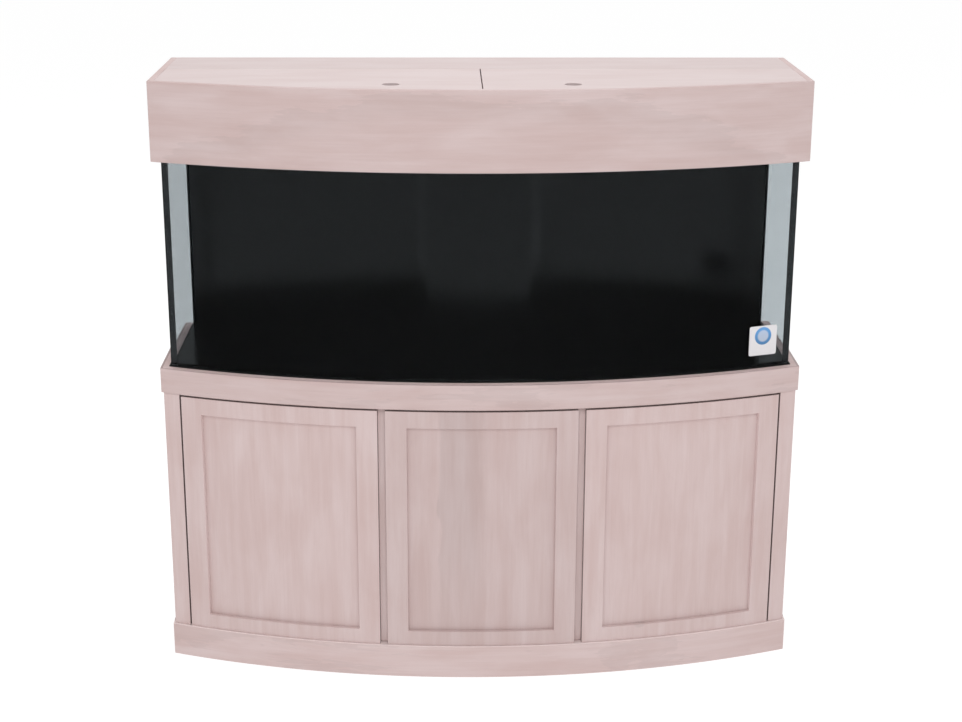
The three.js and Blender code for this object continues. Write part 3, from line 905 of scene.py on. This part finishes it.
def turned_mesh(profile: Sequence[Point2], x: float, y: float, count: int) -> bmesh.types.BMesh:
    """A turned solid on an upright axis.

    Args:
        profile: Radius and height pairs. A closed tube repeats its first pair at the end.
        x: The axis.
        y: The axis.
        count: Segments round it.

    Returns:
        The mesh.
    """
    mesh = bmesh.new()
    rings = []
    for radius, height in profile:
        if radius < 1e-6:
            rings.append([mesh.verts.new((x, y, height))])
            continue
        loop = round_loop(x, y, radius, count)
        rings.append([mesh.verts.new((px, py, height)) for px, py in loop])
    closed = profile[0] == profile[-1]
    if closed:
        for vert in rings.pop():
            mesh.verts.remove(vert)
        rings.append(rings[0])
    for lower, upper in zip(rings, rings[1:]):
        for index in range(count):
            after = (index + 1) % count
            if len(lower) == 1:
                mesh.faces.new((lower[0], upper[after], upper[index]))
            elif len(upper) == 1:
                mesh.faces.new((lower[index], lower[after], upper[0]))
            else:
                mesh.faces.new((lower[index], lower[after], upper[after], upper[index]))
    bmesh.ops.recalc_face_normals(mesh, faces=mesh.faces)
    return mesh


class Workshop:
    """Turns meshes into pieces, dresses them and puts them on their bodies."""

    def __init__(self) -> None:
        """Start with no piece made."""
        self.finishes = Finishes()
        self.kept: set[str] = set()

    def piece(
        self, name: str, mesh: bmesh.types.BMesh, finish: object, body: str, slot: str,
        node: str | None = None,
    ) -> bpy.types.Object:
        """Make one piece.

        Args:
            name: The piece's name.
            mesh: Its shape, in the row frame.
            finish: Its finish.
            body: The body that it rides on.
            slot: The material slot that it belongs to; not used.
            node: The CAD node that it stands for, if any.

        Returns:
            The new object.
        """
        data = bpy.data.meshes.new(name)
        mesh.to_mesh(data)
        mesh.free()
        data.polygons.foreach_set("use_smooth", [True] * len(data.polygons))
        data.materials.append(self.finishes.get(finish))
        piece = bpy.data.objects.new(name, data)
        bpy.context.scene.collection.objects.link(piece)
        even = piece.modifiers.new("even_shading", "WEIGHTED_NORMAL")
        even.keep_sharp = False
        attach(piece, body)
        if node:
            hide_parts(node)
            self.kept.add(node)
        LOG.info("made %s, %d faces, on %s", name, len(data.polygons), body)
        return piece

    def dress(self, node: str, finish: object, ease: float) -> None:
        """Keep a CAD node, with eased edges and a finish.

        Args:
            node: The node's name.
            finish: Its finish.
            ease: Radius of its edges.
        """
        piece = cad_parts[node]
        piece.data.materials.clear()
        piece.data.materials.append(self.finishes.get(finish))
        eased = piece.modifiers.new("eased_edges", "BEVEL")
        eased.width = ease
        eased.segments = 2
        eased.limit_method = "ANGLE"
        eased.angle_limit = math.radians(35.0)
        self.kept.add(node)
        LOG.info("dressed %s", node)


# ---- cabinet


@dataclass
class Cabinet:
    """The case under the tank: base, face frame, trim, deck and inner boards."""

    shop: Workshop
    body_half: float = TANK_HALF + 0.0236
    body_radius: float = TANK_RADIUS + 0.0236
    trim_half: float = TANK_HALF + 0.030
    trim_radius: float = TANK_RADIUS + 0.030
    base_inner: float = TANK_RADIUS + 0.005
    base_top: float = 0.1014
    case_top: float = 0.905
    deck_top: float = 0.9248
    trim_low: float = 0.8503
    rail_low: float = 0.8463
    rail_back: float = 0.025
    board: float = 0.019
    stile_edge: float = 0.9082
    mullion_at: float = 0.2924
    mullion_half: float = 0.030
    mullion_front: float = 0.0195
    mullion_back: float = 0.0375
    ease: float = 0.0012

    def wood(self, name: str, grain: Grain, seed: float, **changes: object) -> Whitewash:
        """A wood finish of the cabinet."""
        return Whitewash(f"cabinet_{name}", grain, seed, **changes)

    def base(self) -> None:
        """The base boards."""
        radii = (self.base_inner, self.trim_radius)
        mesh = curved_board(self.trim_half, radii, (0.0, self.base_top), self.ease)
        # The base board's top edge gets painted light, which lifts the shade at the foot of the
        # doors.
        finish = self.wood("base", Grain.BOW, 3.0, tone=1.045, crest=self.base_top)
        self.shop.piece("base_board_front", mesh, finish, "stand", "wood_trim", "base_front")
        side = self.wood("base_side", Grain.DEPTH, 4.0)
        for name in SIDES:
            self.shop.dress(f"base_{name}", side, self.ease)

    def face(self) -> None:
        """Outer stiles, top rail and the recessed mullions."""
        scale = TANK_RADIUS / self.body_radius
        reach = self.stile_edge * scale
        edge = self.stile_edge / self.body_radius
        for name, side in SIDES.items():
            back = self.body_radius - self.board

            def place(u: float, radius: float, height: float, side: float = side) -> Vector:
                """Place on the stile, whose outer end is cut square."""
                outer = angle_at(radius, side * self.body_half)
                return bow_point(radius, side * edge + (outer - side * edge) * u, height)

            low, high = self.base_top + GAP, self.case_top - GAP
            breaks = [spread(0.0, 1.0, 10), [back, self.body_radius], [low, high]]
            mesh = cell_mesh(breaks, place, self.ease)
            ends = (-9.0, -reach) if side < 0 else (reach, 9.0)
            # rim paints shade on the stile's edge face at the door gap.
            upright = self.wood(
                f"stile_{name}", Grain.UPRIGHT, 5.0, figure=Figure.NONE, tone=1.03,
                rim=(*ends, 0.0, 9.0),
            )
            node = f"face_stile_{name}"
            self.shop.piece(f"outer_stile_{name}", mesh, upright, "stand", "wood_trim", node)

            middle = side * self.mullion_at / self.body_radius
            half = self.mullion_half / self.body_radius
            mesh = radial_board(
                (middle - half, middle + half),
                (self.body_radius - self.mullion_back, self.body_radius - self.mullion_front),
                (self.base_top + GAP, self.rail_low - GAP),
                self.ease,
            )
            # tone 1.2 is painted light: the mullion is paled to lift the shade of its recess
            # between the doors.
            finish = self.wood("mullion", Grain.UPRIGHT, 6.0, figure=Figure.NONE, tone=1.2)
            node = f"mullion_{name}"
            self.shop.piece(f"mullion_strip_{name}", mesh, finish, "stand", "wood_inner", node)
        end = (self.stile_edge - GAP) / self.body_radius
        radii = (self.body_radius - self.rail_back, self.body_radius)
        mesh = radial_board((-end, end), radii, (self.rail_low, self.case_top - GAP), self.ease)
        finish = self.wood("rail", Grain.BOW, 7.0)
        self.shop.piece("top_rail_face", mesh, finish, "stand", "wood_trim", "face_top_rail")

    def top(self) -> None:
        """The deck and the trim round it."""
        # tone 1.4 is painted light: the deck's narrow ledge beside the tank is paled to lift the
        # shade there.
        deck = self.wood("deck", Grain.WIDTH, 8.0, tone=1.4)
        self.shop.dress("top_deck", deck, 0.0008)
        radii = (self.body_radius + GAP, self.trim_radius)
        mesh = curved_board(self.trim_half, radii, (self.trim_low, self.deck_top), self.ease)
        finish = self.wood("trim", Grain.BOW, 9.0, tone=0.985)
        self.shop.piece("rim_trim_front", mesh, finish, "stand", "wood_trim", "top_trim_front")
        side = self.wood("trim_side", Grain.DEPTH, 10.0)
        for name in SIDES:
            self.shop.dress(f"top_trim_{name}", side, self.ease)

    def inside(self) -> None:
        """Side panels, partitions, floor and back."""
        panel = self.wood("side_panel", Grain.UPRIGHT, 11.0)
        partition = self.wood("partition", Grain.UPRIGHT, 12.0, tone=INNER_TONE)
        for name in SIDES:
            self.shop.dress(f"side_panel_{name}", panel, self.ease)
            self.shop.dress(f"partition_{name}", partition, 0.0008)
        floor = self.wood("floor", Grain.WIDTH, 13.0, tone=INNER_TONE)
        self.shop.dress("floor_panel", floor, 0.0008)
        back = self.wood("back", Grain.UPRIGHT, 14.0, tone=INNER_TONE)
        self.shop.dress("back_panel", back, 0.0006)

    def build(self) -> None:
        """Build the whole cabinet."""
        self.base()
        self.face()
        self.top()
        self.inside()


class Hand(Enum):
    """Which edge a door turns on."""

    LEFT = "left"
    RIGHT = "right"


@dataclass
class Door:
    """One inset door: a frame with a window, a recessed panel, pins and a catch."""

    shop: Workshop
    name: str
    body: str
    start: float
    end: float
    hand: Hand
    edge_to_pin: float
    face_to_pin: float
    seed: float
    band: bool = False
    knot: tuple[float, ...] = ()
    face_radius: float = TANK_RADIUS + 0.0236
    thick: float = 0.016
    low: float = 0.1018
    high: float = 0.8418
    stile: float = 0.0635
    window_low: float = 0.1475
    window_high: float = 0.7905
    recess: float = 0.012
    rebate: float = 0.008
    ease: float = 0.001

    def finish(self, part: str, inset: float, **borders: Sequence[float]) -> Whitewash:
        """Upright figure that runs on from the frame to the panel.

        Args:
            part: The part's name.
            inset: How far the part's borders lie inside the door's.
            borders: What each kind of border needs beyond the part's ends.

        Returns:
            The finish.
        """
        scale = TANK_RADIUS / self.face_radius
        ends = ((self.start + inset) * scale, (self.end - inset) * scale)
        edges = {kind: (*ends, *rest) for kind, rest in borders.items()}
        looks = {"figure": Figure.NONE, "tone": 1.02, "knot": self.knot}
        if self.band:
            looks = {"figure": Figure.BAND, "tone": 0.955, "strength": 0.2}
        return Whitewash(f"{self.name}_{part}", Grain.UPRIGHT, self.seed, **looks, **edges)

    def frame_mesh(self) -> bmesh.types.BMesh:
        """The frame, rebated behind for the panel.

        Returns:
            The mesh.
        """
        unit = self.face_radius
        start, end = self.start / unit, self.end / unit
        stile, lip = self.stile / unit, (self.stile - self.rebate) / unit
        inner = spread(start + stile, end - stile, 28)
        across = [start, *spread(start, start + lip, 2)[1:], *inner]
        across += [*spread(end - lip, end, 2)]
        upward = [
            self.low, self.window_low - self.rebate, self.window_low,
            self.window_high, self.window_high + self.rebate, self.high,
        ]
        back = self.face_radius - self.thick
        through = [back, self.face_radius - self.recess, self.face_radius]
        first, last = 3, len(across) - 4

        def filled(i: int, j: int, k: int) -> bool:
            """Whether a cell is wood: the window is wider behind the lip."""
            grow = 1 if k == 0 else 0
            return not (first - grow <= i < last + grow and 2 - grow <= j < 3 + grow)

        def place(u: float, height: float, radius: float) -> Vector:
            """Place on the curve of the door."""
            return bow_point(radius, u, height)

        return cell_mesh([across, upward, through], place, self.ease, filled)

    def pin_place(self) -> Vector:
        """Where the door's axis is."""
        if self.hand is Hand.LEFT:
            along = self.start + self.edge_to_pin
        else:
            along = self.end - self.edge_to_pin
        return bow_point(self.face_radius - self.face_to_pin, along / self.face_radius, 0.0)

    def fittings(self) -> None:
        """Turned pins below and above, and the catch."""
        pin = self.pin_place()
        shaft, collar, soft, easing = 0.0025, 0.006, 0.0003, 0.00005
        seat, cap = self.low - soft, self.low - 0.0001
        washer = [
            (shaft, seat), (collar - 2 * easing, seat), (collar, seat + easing),
            (collar, cap - easing), (collar - 2 * easing, cap), (shaft, cap),
        ]
        pins = {"lower": (0.0894, washer, 0.1221), "upper": (0.8223, [], 0.8583)}
        for place, (foot, middle, tip) in pins.items():
            node = f"{self.name}_pin_{place}"
            profile = [(0.0, foot), (shaft - soft, foot), (shaft, foot + soft), *middle]
            profile += [(shaft, tip - soft), (shaft - soft, tip), (0.0, tip)]
            mesh = turned_mesh(profile, pin.x, pin.y, 24)
            self.shop.piece(f"{self.name}_pivot_{place}", mesh, STEEL, self.body, "steel", node)
        self.shop.dress(f"{self.name}_catch", STEEL, 0.0006)

    def build(self) -> None:
        """Build the door."""
        node = f"{self.name}_frame"
        mesh = self.frame_mesh()
        # lips bound the painted light on the frame's recessed faces.
        lips, rim = (self.window_high, self.face_radius), (self.low - 0.01, self.high)
        # rim bounds the painted shade on the door's edge faces at the gaps.
        finish = self.finish("frame_wood", 0.0, lips=lips, rim=rim)
        self.shop.piece(f"{self.name}_surround", mesh, finish, self.body, "wood_door", node)
        unit = self.face_radius
        inset = (self.stile - self.rebate + GAP) / unit
        mesh = radial_board(
            (self.start / unit + inset, self.end / unit - inset),
            (self.face_radius - self.thick, self.face_radius - self.recess - GAP),
            (self.window_low - self.rebate + GAP, self.window_high + self.rebate - GAP),
            0.0004,
        )
        node = f"{self.name}_panel"
        heights = (self.window_low, self.window_high)
        # The panel's borders get painted shade, where the frame shades the recess.
        finish = self.finish("panel_wood", self.stile, shade=heights)
        self.shop.piece(f"{self.name}_field", mesh, finish, self.body, "wood_panel", node)
        self.fittings()


# ---- tank


@dataclass
class Tank:
    """The glass tank: panes, black back and floor, seals, overflow and label."""

    shop: Workshop
    glass: float = 0.010
    seam: float = 0.0021
    pane_low: float = 0.9278
    pane_high: float = 1.560
    floor_thick: float = 0.006
    back_y: float = BACK_Y - 0.0266
    mat_grow: float = 0.0055
    mat_low: float = 0.9251
    mat_high: float = 0.9275
    drain_y: float = 0.235
    drain_hole: float = 0.0216
    overflow_half: float = 0.190
    overflow_corner: float = 0.030
    overflow_front: float = 0.1505
    overflow_wall: float = 0.006
    overflow_top: float = 1.540
    slot_pitch: float = 0.020
    slot_wide: float = 0.007
    brace_half: float = 0.06
    bead: float = 0.009
    bead_hollow: float = 0.0022
    bead_skin: float = 0.0015
    leg: float = 0.006
    dip: float = 0.0025
    label_x: float = 0.8295
    label_z: float = 1.008
    label_half: float = 0.045
    label_corner: float = 0.006

    @property
    def rear(self) -> float:
        """Y of the back of the clear space."""
        return self.back_y - self.glass - GAP

    @property
    def bed(self) -> float:
        """Height of the clear space's floor."""
        return self.pane_low + self.floor_thick + GAP

    def outline(self, radius: float, half: float, back: float) -> list[Point2]:
        """Plan of a flat-backed, bow-fronted sheet.

        Args:
            radius: Radius of its front.
            half: Half its width.
            back: Y of its back.

        Returns:
            The outline.
        """
        return [*bow_arc(radius, -half, half), (half, back), (-half, back)]

    def sheets(self) -> None:
        """Mat, floor and back."""
        hole = round_loop(0.0, self.drain_y, self.drain_hole)
        grow = self.mat_grow
        edge = self.outline(TANK_RADIUS + grow, TANK_HALF + grow, self.back_y + grow)
        mesh = slab_mesh([edge, hole], self.mat_low, self.mat_high, 0.0008)
        self.shop.piece("levelling_mat", mesh, MAT_FOAM, "stand", "mat_foam", "tank_mat")
        inner = TANK_HALF - self.glass - GAP
        edge = self.outline(TANK_RADIUS - self.glass - GAP, inner, self.rear)
        high = self.pane_low + self.floor_thick
        mesh = slab_mesh([edge, hole], self.pane_low, high, 0.0005)
        self.shop.piece("floor_sheet", mesh, BLACK_FLOOR, "stand", "acrylic_black", "tank_floor")
        mesh = box_mesh(
            (-inner, self.back_y - self.glass, self.pane_low),
            (inner, self.back_y, self.pane_high),
            0.0008,
        )
        node = "tank_back_pane"
        self.shop.piece("back_sheet", mesh, BLACK_BACK, "stand", "acrylic_black", node)

    def panes(self) -> None:
        """Front and side panes, and the brace across the top."""
        inner = TANK_RADIUS - self.glass
        heights = (self.pane_low, self.pane_high)
        mesh = curved_board(TANK_HALF, (inner, TANK_RADIUS), heights, 0.0008)
        node = "tank_front_pane"
        self.shop.piece("front_pane", mesh, GLASS_FRONT, "stand", "glass_clear", node)
        for name, side in SIDES.items():
            ends = (side * TANK_HALF, side * (TANK_HALF - self.glass))
            mesh = side_board(ends, inner - self.seam, self.back_y, heights, 0.0008)
            node = f"tank_side_pane_{name}"
            self.shop.piece(f"side_pane_{name}", mesh, GLASS_SIDE, "stand", "glass_clear", node)
        edge = self.outline(inner - GAP, self.brace_half, self.rear)
        low, high = self.pane_high - 0.012, self.pane_high - 0.002
        mesh = slab_mesh([edge], low, high, 0.0006)
        node = "tank_centre_brace"
        self.shop.piece("centre_brace", mesh, GLASS_SIDE, "stand", "glass_clear", node)

    def seals(self) -> None:
        """Black sealant in the corners."""
        radius = TANK_RADIUS - self.glass - GAP
        thin = radius - self.bead_skin
        for name, side in SIDES.items():
            outer_x = side * TANK_HALF
            clear_x = side * (TANK_HALF - self.glass - GAP)
            bead_x = side * (TANK_HALF - self.glass - self.bead)
            front = bow_point(radius, angle_at(radius, bead_x), 0.0)
            corner = bow_point(thin, angle_at(thin, clear_x), 0.0)
            back = Vector((clear_x, corner.y + self.bead, 0.0))
            inward = Vector((side, -0.35, 0.0)) * self.bead_hollow
            hollow = [
                front.lerp(back, step / 8) + inward * math.sin(math.pi * step / 8)
                for step in range(1, 8)
            ]
            outer = bow_point(thin, angle_at(thin, outer_x), 0.0)
            loop = [*bow_arc(radius, outer_x, bead_x)]
            loop += [(point.x, point.y) for point in (*hollow, back, corner, outer)]
            mesh = slab_mesh([loop], self.pane_low + GAP, self.pane_high, 0.0002)
            node = f"tank_seam_{name}"
            self.shop.piece(f"corner_seal_{name}", mesh, SEALANT, "stand", "seal_black", node)
            loop = [(clear_x, self.rear), (clear_x - side * self.leg, self.rear)]
            loop += [(clear_x - side * self.dip, self.rear - self.dip)]
            loop += [(clear_x, self.rear - self.leg)]
            mesh = slab_mesh([loop], self.bed, self.pane_high - 0.001, 0.0002)
            self.shop.piece(f"back_seal_{name}", mesh, SEALANT, "stand", "seal_black")

    def overflow_path(self, inset: float) -> list[Point2]:
        """Plan line of the overflow's wall at a depth into it."""
        half, front = self.overflow_half - inset, self.overflow_front + inset
        corner = self.overflow_corner - inset * 0.59
        return [
            (-half, self.rear), (-half, front + corner), (-half + corner, front),
            (half - corner, front), (half, front + corner), (half, self.rear),
        ]

    def overflow(self) -> None:
        """The overflow box, with slots along its rim, and the drain pipe."""
        outer, inner = self.overflow_path(0.0), self.overflow_path(self.overflow_wall)
        margin, comb_low, comb_high = 0.012, 0.034, 0.006
        stops: list[tuple[float, bool]] = []
        for index in range(len(outer) - 1):
            length = math.dist(outer[index], outer[index + 1])
            teeth = int((length - margin) / self.slot_pitch) if index in (0, 2, 4) else 0
            stops.append((float(index), False))
            for tooth in range(teeth):
                middle = length / 2 + (tooth - (teeth - 1) / 2) * self.slot_pitch
                stops.append((index + (middle - self.slot_wide / 2) / length, True))
                stops.append((index + (middle + self.slot_wide / 2) / length, False))
        stops.append((float(len(outer) - 1), False))
        breaks = [stop for stop, _ in stops]
        cut = [is_slot for _, is_slot in stops]

        def place(u: float, depth: float, height: float) -> Vector:
            """Place on the wall, along its line and through it."""
            index = min(int(u), len(outer) - 2)
            share = u - index
            a = Vector(outer[index]).lerp(Vector(outer[index + 1]), share)
            b = Vector(inner[index]).lerp(Vector(inner[index + 1]), share)
            spot = a.lerp(b, depth)
            return Vector((spot.x, spot.y, height))

        top = self.overflow_top
        heights = [self.bed, top - comb_low, top - comb_high, top]
        mesh = cell_mesh(
            [breaks, [0.0, 1.0], heights], place, 0.0007,
            lambda i, j, k: not (cut[i] and k == 1),
        )
        node = "overflow_box"
        self.shop.piece("overflow_wall", mesh, BLACK_BOX, "stand", "acrylic_black", node)
        outside, bore, soft, foot, rim = 0.021, 0.017, 0.0008, 0.870, 1.490
        profile = [
            (bore, foot + soft), (bore + soft, foot), (outside - soft, foot),
            (outside, foot + soft), (outside, rim - soft), (outside - soft, rim),
            (bore + soft, rim), (bore, rim - soft), (bore, foot + soft),
        ]
        mesh = turned_mesh(profile, 0.0, self.drain_y, 40)
        self.shop.piece("standpipe", mesh, PIPE, "stand", "pipe_plastic", "drain_pipe")

    def label(self) -> None:
        """A plain square label on the front glass."""
        angle = angle_at(TANK_RADIUS, self.label_x)
        middle = bow_point(TANK_RADIUS + GAP, angle, self.label_z)
        corner = self.label_corner
        reach = self.label_half - corner
        loop: list[Point2] = []
        for quarter, (sx, sy) in enumerate(((1, 1), (-1, 1), (-1, -1), (1, -1))):
            for step in range(7):
                turn_by = math.pi / 2 * (quarter + step / 6)
                loop.append((
                    sx * reach + corner * math.cos(turn_by),
                    sy * reach + corner * math.sin(turn_by),
                ))
        mesh = slab_mesh([loop], 0.0, 0.0005, 0.0001)
        stand_up = Matrix.Rotation(math.pi / 2, 4, "X")
        spin = Matrix.Rotation(angle, 4, "Z")
        mesh.transform(Matrix.Translation(middle) @ spin @ stand_up)
        finish = LabelPrint("label_print", (middle.x, middle.y), self.label_z)
        self.shop.piece("square_label", mesh, finish, "stand", "label_vinyl", "tank_label")

    def build(self) -> None:
        """Build the whole tank."""
        self.sheets()
        self.panes()
        self.seals()
        self.overflow()
        self.label()


# ---- canopy


@dataclass
class Canopy:
    """The wooden canopy that rests on the tank."""

    shop: Workshop
    half: float = TANK_HALF + 0.0266
    radius: float = TANK_RADIUS + 0.0266
    board: float = 0.019
    low: float = 1.5396
    high: float = 1.7688
    rim: float = 0.035
    ledge: float = 0.025
    rail: float = 0.0388
    hinge_y: float = 0.0915
    hinge_gap: float = 0.0004
    lid_gap: float = 0.0016
    hole_x: float = 0.254
    hole_y: float = -0.2105
    hole_radius: float = 0.024
    ease: float = 0.0014

    def wood(self, name: str, grain: Grain, seed: float, **changes: object) -> Whitewash:
        """A wood finish of the canopy."""
        return Whitewash(f"canopy_{name}", grain, seed, **changes)

    def boards(self) -> None:
        """Front, sides and back."""
        inner = self.radius - self.board
        heights = (self.low, self.high)
        mesh = curved_board(self.half, (inner, self.radius), heights, self.ease)
        finish = self.wood("front", Grain.BOW, 21.0, figure=Figure.ARCH, tone=0.975)
        self.shop.piece("canopy_front", mesh, finish, "canopy", "wood_hood", "hood_front")
        side_wood = self.wood("side", Grain.DEPTH, 22.0)
        for name, side in SIDES.items():
            ends = (side * self.half, side * (self.half - self.board))
            mesh = side_board(ends, inner - GAP, BACK_Y, heights, self.ease)
            node = f"hood_side_{name}"
            self.shop.piece(f"canopy_side_{name}", mesh, side_wood, "canopy", "wood_hood", node)
        self.shop.dress("hood_back", self.wood("back", Grain.WIDTH, 23.0), self.ease)

    def top(self) -> None:
        """The fixed strip at the back, the front rail and the hidden supports."""
        clear = self.half - self.board - GAP
        strip = self.wood("strip", Grain.WIDTH, 24.0, tone=0.955, **TOP_BOARD_PAINTED_LIGHT)
        self.shop.dress("hood_top_strip", strip, 0.0006)
        outer, step = self.radius - self.board - GAP, self.radius - self.rim
        inner = step - self.ledge
        low, shelf = self.high - self.rail, self.high - self.board - GAP
        heights = (low, shelf, self.high)
        mesh = curved_board(
            clear, (inner, step, outer), heights, 0.0007, lambda i, j, k: j == 1 or k == 0
        )
        finish = self.wood("rail", Grain.BOW, 24.5, **TOP_BOARD_PAINTED_LIGHT)
        self.shop.piece("canopy_rail", mesh, finish, "canopy", "wood_top", "hood_front_rail")
        bar = self.wood("bar", Grain.DEPTH, 25.0, tone=INNER_TONE)
        self.shop.dress("hood_centre_bar", bar, 0.0008)
        cleat = self.wood("cleat", Grain.WIDTH, 26.0, tone=INNER_TONE)
        self.shop.dress("hood_cleat_front", cleat, 0.0006)
        side_cleat = self.wood("side_cleat", Grain.DEPTH, 27.0, tone=INNER_TONE)
        for name in SIDES:
            self.shop.dress(f"hood_cleat_{name}", side_cleat, 0.0006)
        self.shop.dress("hood_hinge_leaf", STEEL, 0.0002)

    def lids(self) -> None:
        """Two lids with finger holes."""
        clear = self.half - self.board - 2 * GAP
        radius = self.radius - self.rim - GAP
        finish = self.wood("lid", Grain.WIDTH, 24.0, **TOP_BOARD_PAINTED_LIGHT)
        for name, side in SIDES.items():
            left, right = sorted((side * self.lid_gap, side * clear))
            back = self.hinge_y - self.hinge_gap
            outline = [*bow_arc(radius, left, right), (right, back), (left, back)]
            hole = round_loop(side * self.hole_x, self.hole_y, self.hole_radius)
            mesh = slab_mesh([outline, hole], self.high - self.board, self.high, 0.0006)
            body = f"{name}_lid"
            self.shop.piece(f"lid_board_{name}", mesh, finish, body, "wood_top", f"lid_{name}")
            self.shop.dress(f"lid_{name}_hinge_leaf", STEEL, 0.0002)

    def build(self) -> None:
        """Build the whole canopy."""
        self.boards()
        self.top()
        self.lids()


# ---- studio


@dataclass(frozen=True)
class Lamp:
    """A broad round lamp."""

    name: str
    place: tuple[float, float, float]
    aim: tuple[float, float, float]
    size: float
    power: float

    def hang(self) -> None:
        """Add the lamp, turned to its aim."""
        data = bpy.data.lights.new(self.name, "AREA")
        data.shape = "DISK"
        data.size = self.size
        data.energy = self.power
        lamp = bpy.data.objects.new(self.name, data)
        bpy.context.scene.collection.objects.link(lamp)
        lamp.location = self.place
        towards = Vector(self.aim) - Vector(self.place)
        lamp.rotation_euler = towards.to_track_quat("-Z", "Y").to_euler()


@dataclass
class Studio:
    """Floor, lights and camera."""

    floor_reach: float = 60.0
    horizon: float = 0.67
    zenith: float = 0.69
    underside: float = 0.07
    floor_tone: float = 0.35
    floor_glow: float = 0.80
    camera_at: tuple[float, float, float] = (-0.1062, -5.2005, 2.5274)
    heading: float = 0.0211
    tilt: float = 0.3040
    roll: float = 0.0031
    lens: float = 67.086

    def floor(self) -> None:
        """A plain pale floor."""
        mesh = bmesh.new()
        reach = self.floor_reach
        corners = ((-reach, -reach), (reach, -reach), (reach, reach), (-reach, reach))
        mesh.faces.new([mesh.verts.new((x, y, -0.0005)) for x, y in corners])
        data = bpy.data.meshes.new("studio_floor")
        mesh.to_mesh(data)
        mesh.free()
        tree = ShaderTree("studio_floor")
        mottle = tree.grit((2.0, 2.0, 0.0), 3.0, 0.5)
        tone = (self.floor_tone,) * 3
        colour = tree.blend(mottle * 0.1, tone, tuple(c * 0.97 for c in tone))
        data.materials.append(tree.surface(
            colour, 0.9, Specular_IOR_Level=0.0,
            Emission_Color=(1.0, 1.0, 1.0, 1.0), Emission_Strength=self.floor_glow,
        ))
        floor = bpy.data.objects.new("studio_floor", data)
        bpy.context.scene.collection.objects.link(floor)
        floor.visible_glossy = False

    def light(self) -> None:
        """A dome that is dim below the horizon, and two broad lamps."""
        world = bpy.data.worlds.new("studio_dome")
        bpy.context.scene.world = world
        tree = ShaderTree("studio_dome", world)
        towards = tree.node("ShaderNodeTexCoord", {}, {}).outputs["Generated"]
        rise = tree.node("ShaderNodeSeparateXYZ", {}, {0: towards}).outputs["Z"]
        edge = 0.02
        near, far = (
            Value(tree, tree.node("ShaderNodeMapRange", {}, dict(enumerate(span))).outputs[0])
            for span in (
                (rise, -2 * edge, edge, self.underside, self.horizon),
                (rise, edge, 1.0, 0.0, self.zenith - self.horizon),
            )
        )
        dome = tree.node("ShaderNodeBackground", {}, {"Strength": near + far})
        tree.node("ShaderNodeOutputWorld", {}, {0: dome.outputs[0]})
        for lamp in (
            Lamp("front_lamp", (0.0, -6.4, 5.6), (0.0, -0.2, 0.9), 4.0, 186.0),
            Lamp("overhead_lamp", (0.0, 1.2, 6.2), (0.0, 0.1, 1.7), 3.6, 118.0),
        ):
            lamp.hang()

    def camera(self) -> None:
        """The camera, aimed by heading, tilt and roll."""
        ahead = Vector((
            math.sin(self.heading) * math.cos(self.tilt),
            math.cos(self.heading) * math.cos(self.tilt),
            -math.sin(self.tilt),
        ))
        level = Vector((math.cos(self.heading), -math.sin(self.heading), 0.0))
        above = level.cross(ahead)
        right = math.cos(self.roll) * level + math.sin(self.roll) * above
        up = math.cos(self.roll) * above - math.sin(self.roll) * level
        data = bpy.data.cameras.new("studio_camera")
        data.sensor_fit = "HORIZONTAL"
        data.sensor_width = 36.0
        data.lens = self.lens
        data.clip_end = 200.0
        camera = bpy.data.objects.new("studio_camera", data)
        bpy.context.scene.collection.objects.link(camera)
        turned = Matrix((right, up, -ahead)).transposed().to_4x4()
        camera.matrix_world = Matrix.Translation(self.camera_at) @ turned
        bpy.context.scene.camera = camera

    def build(self) -> None:
        """Set up the studio."""
        self.camera()
        self.floor()
        self.light()
        settings = bpy.context.scene.view_settings
        settings.view_transform = "Standard"
        settings.look = "None"
        bpy.context.scene.render.film_transparent = False


def main() -> None:
    logging.basicConfig(level=logging.INFO, format="%(name)s: %(message)s")
    Studio().build()
    shop = Workshop()
    Cabinet(shop).build()
    outer, inner, centre = 0.9036, 0.3032, 0.2814
    doors = [
        Door(shop, "door_left", "left_door", -outer, -inner, Hand.LEFT, 0.010, 0.008, 31.0),
        Door(shop, "door_centre", "centre_door", -centre, centre, Hand.LEFT, 0.006, 0.010, 32.0,
             band=True),
        Door(shop, "door_right", "right_door", inner, outer, Hand.RIGHT, 0.010, 0.008, 33.0,
             knot=(0.475, 0.146)),
    ]
    for door in doors:
        door.build()
    Tank(shop).build()
    Canopy(shop).build()
    missed = sorted(set(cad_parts) - shop.kept)
    LOG.info("nodes without a finish: %s", missed or "none")


if __name__ == "__main__":
    main()
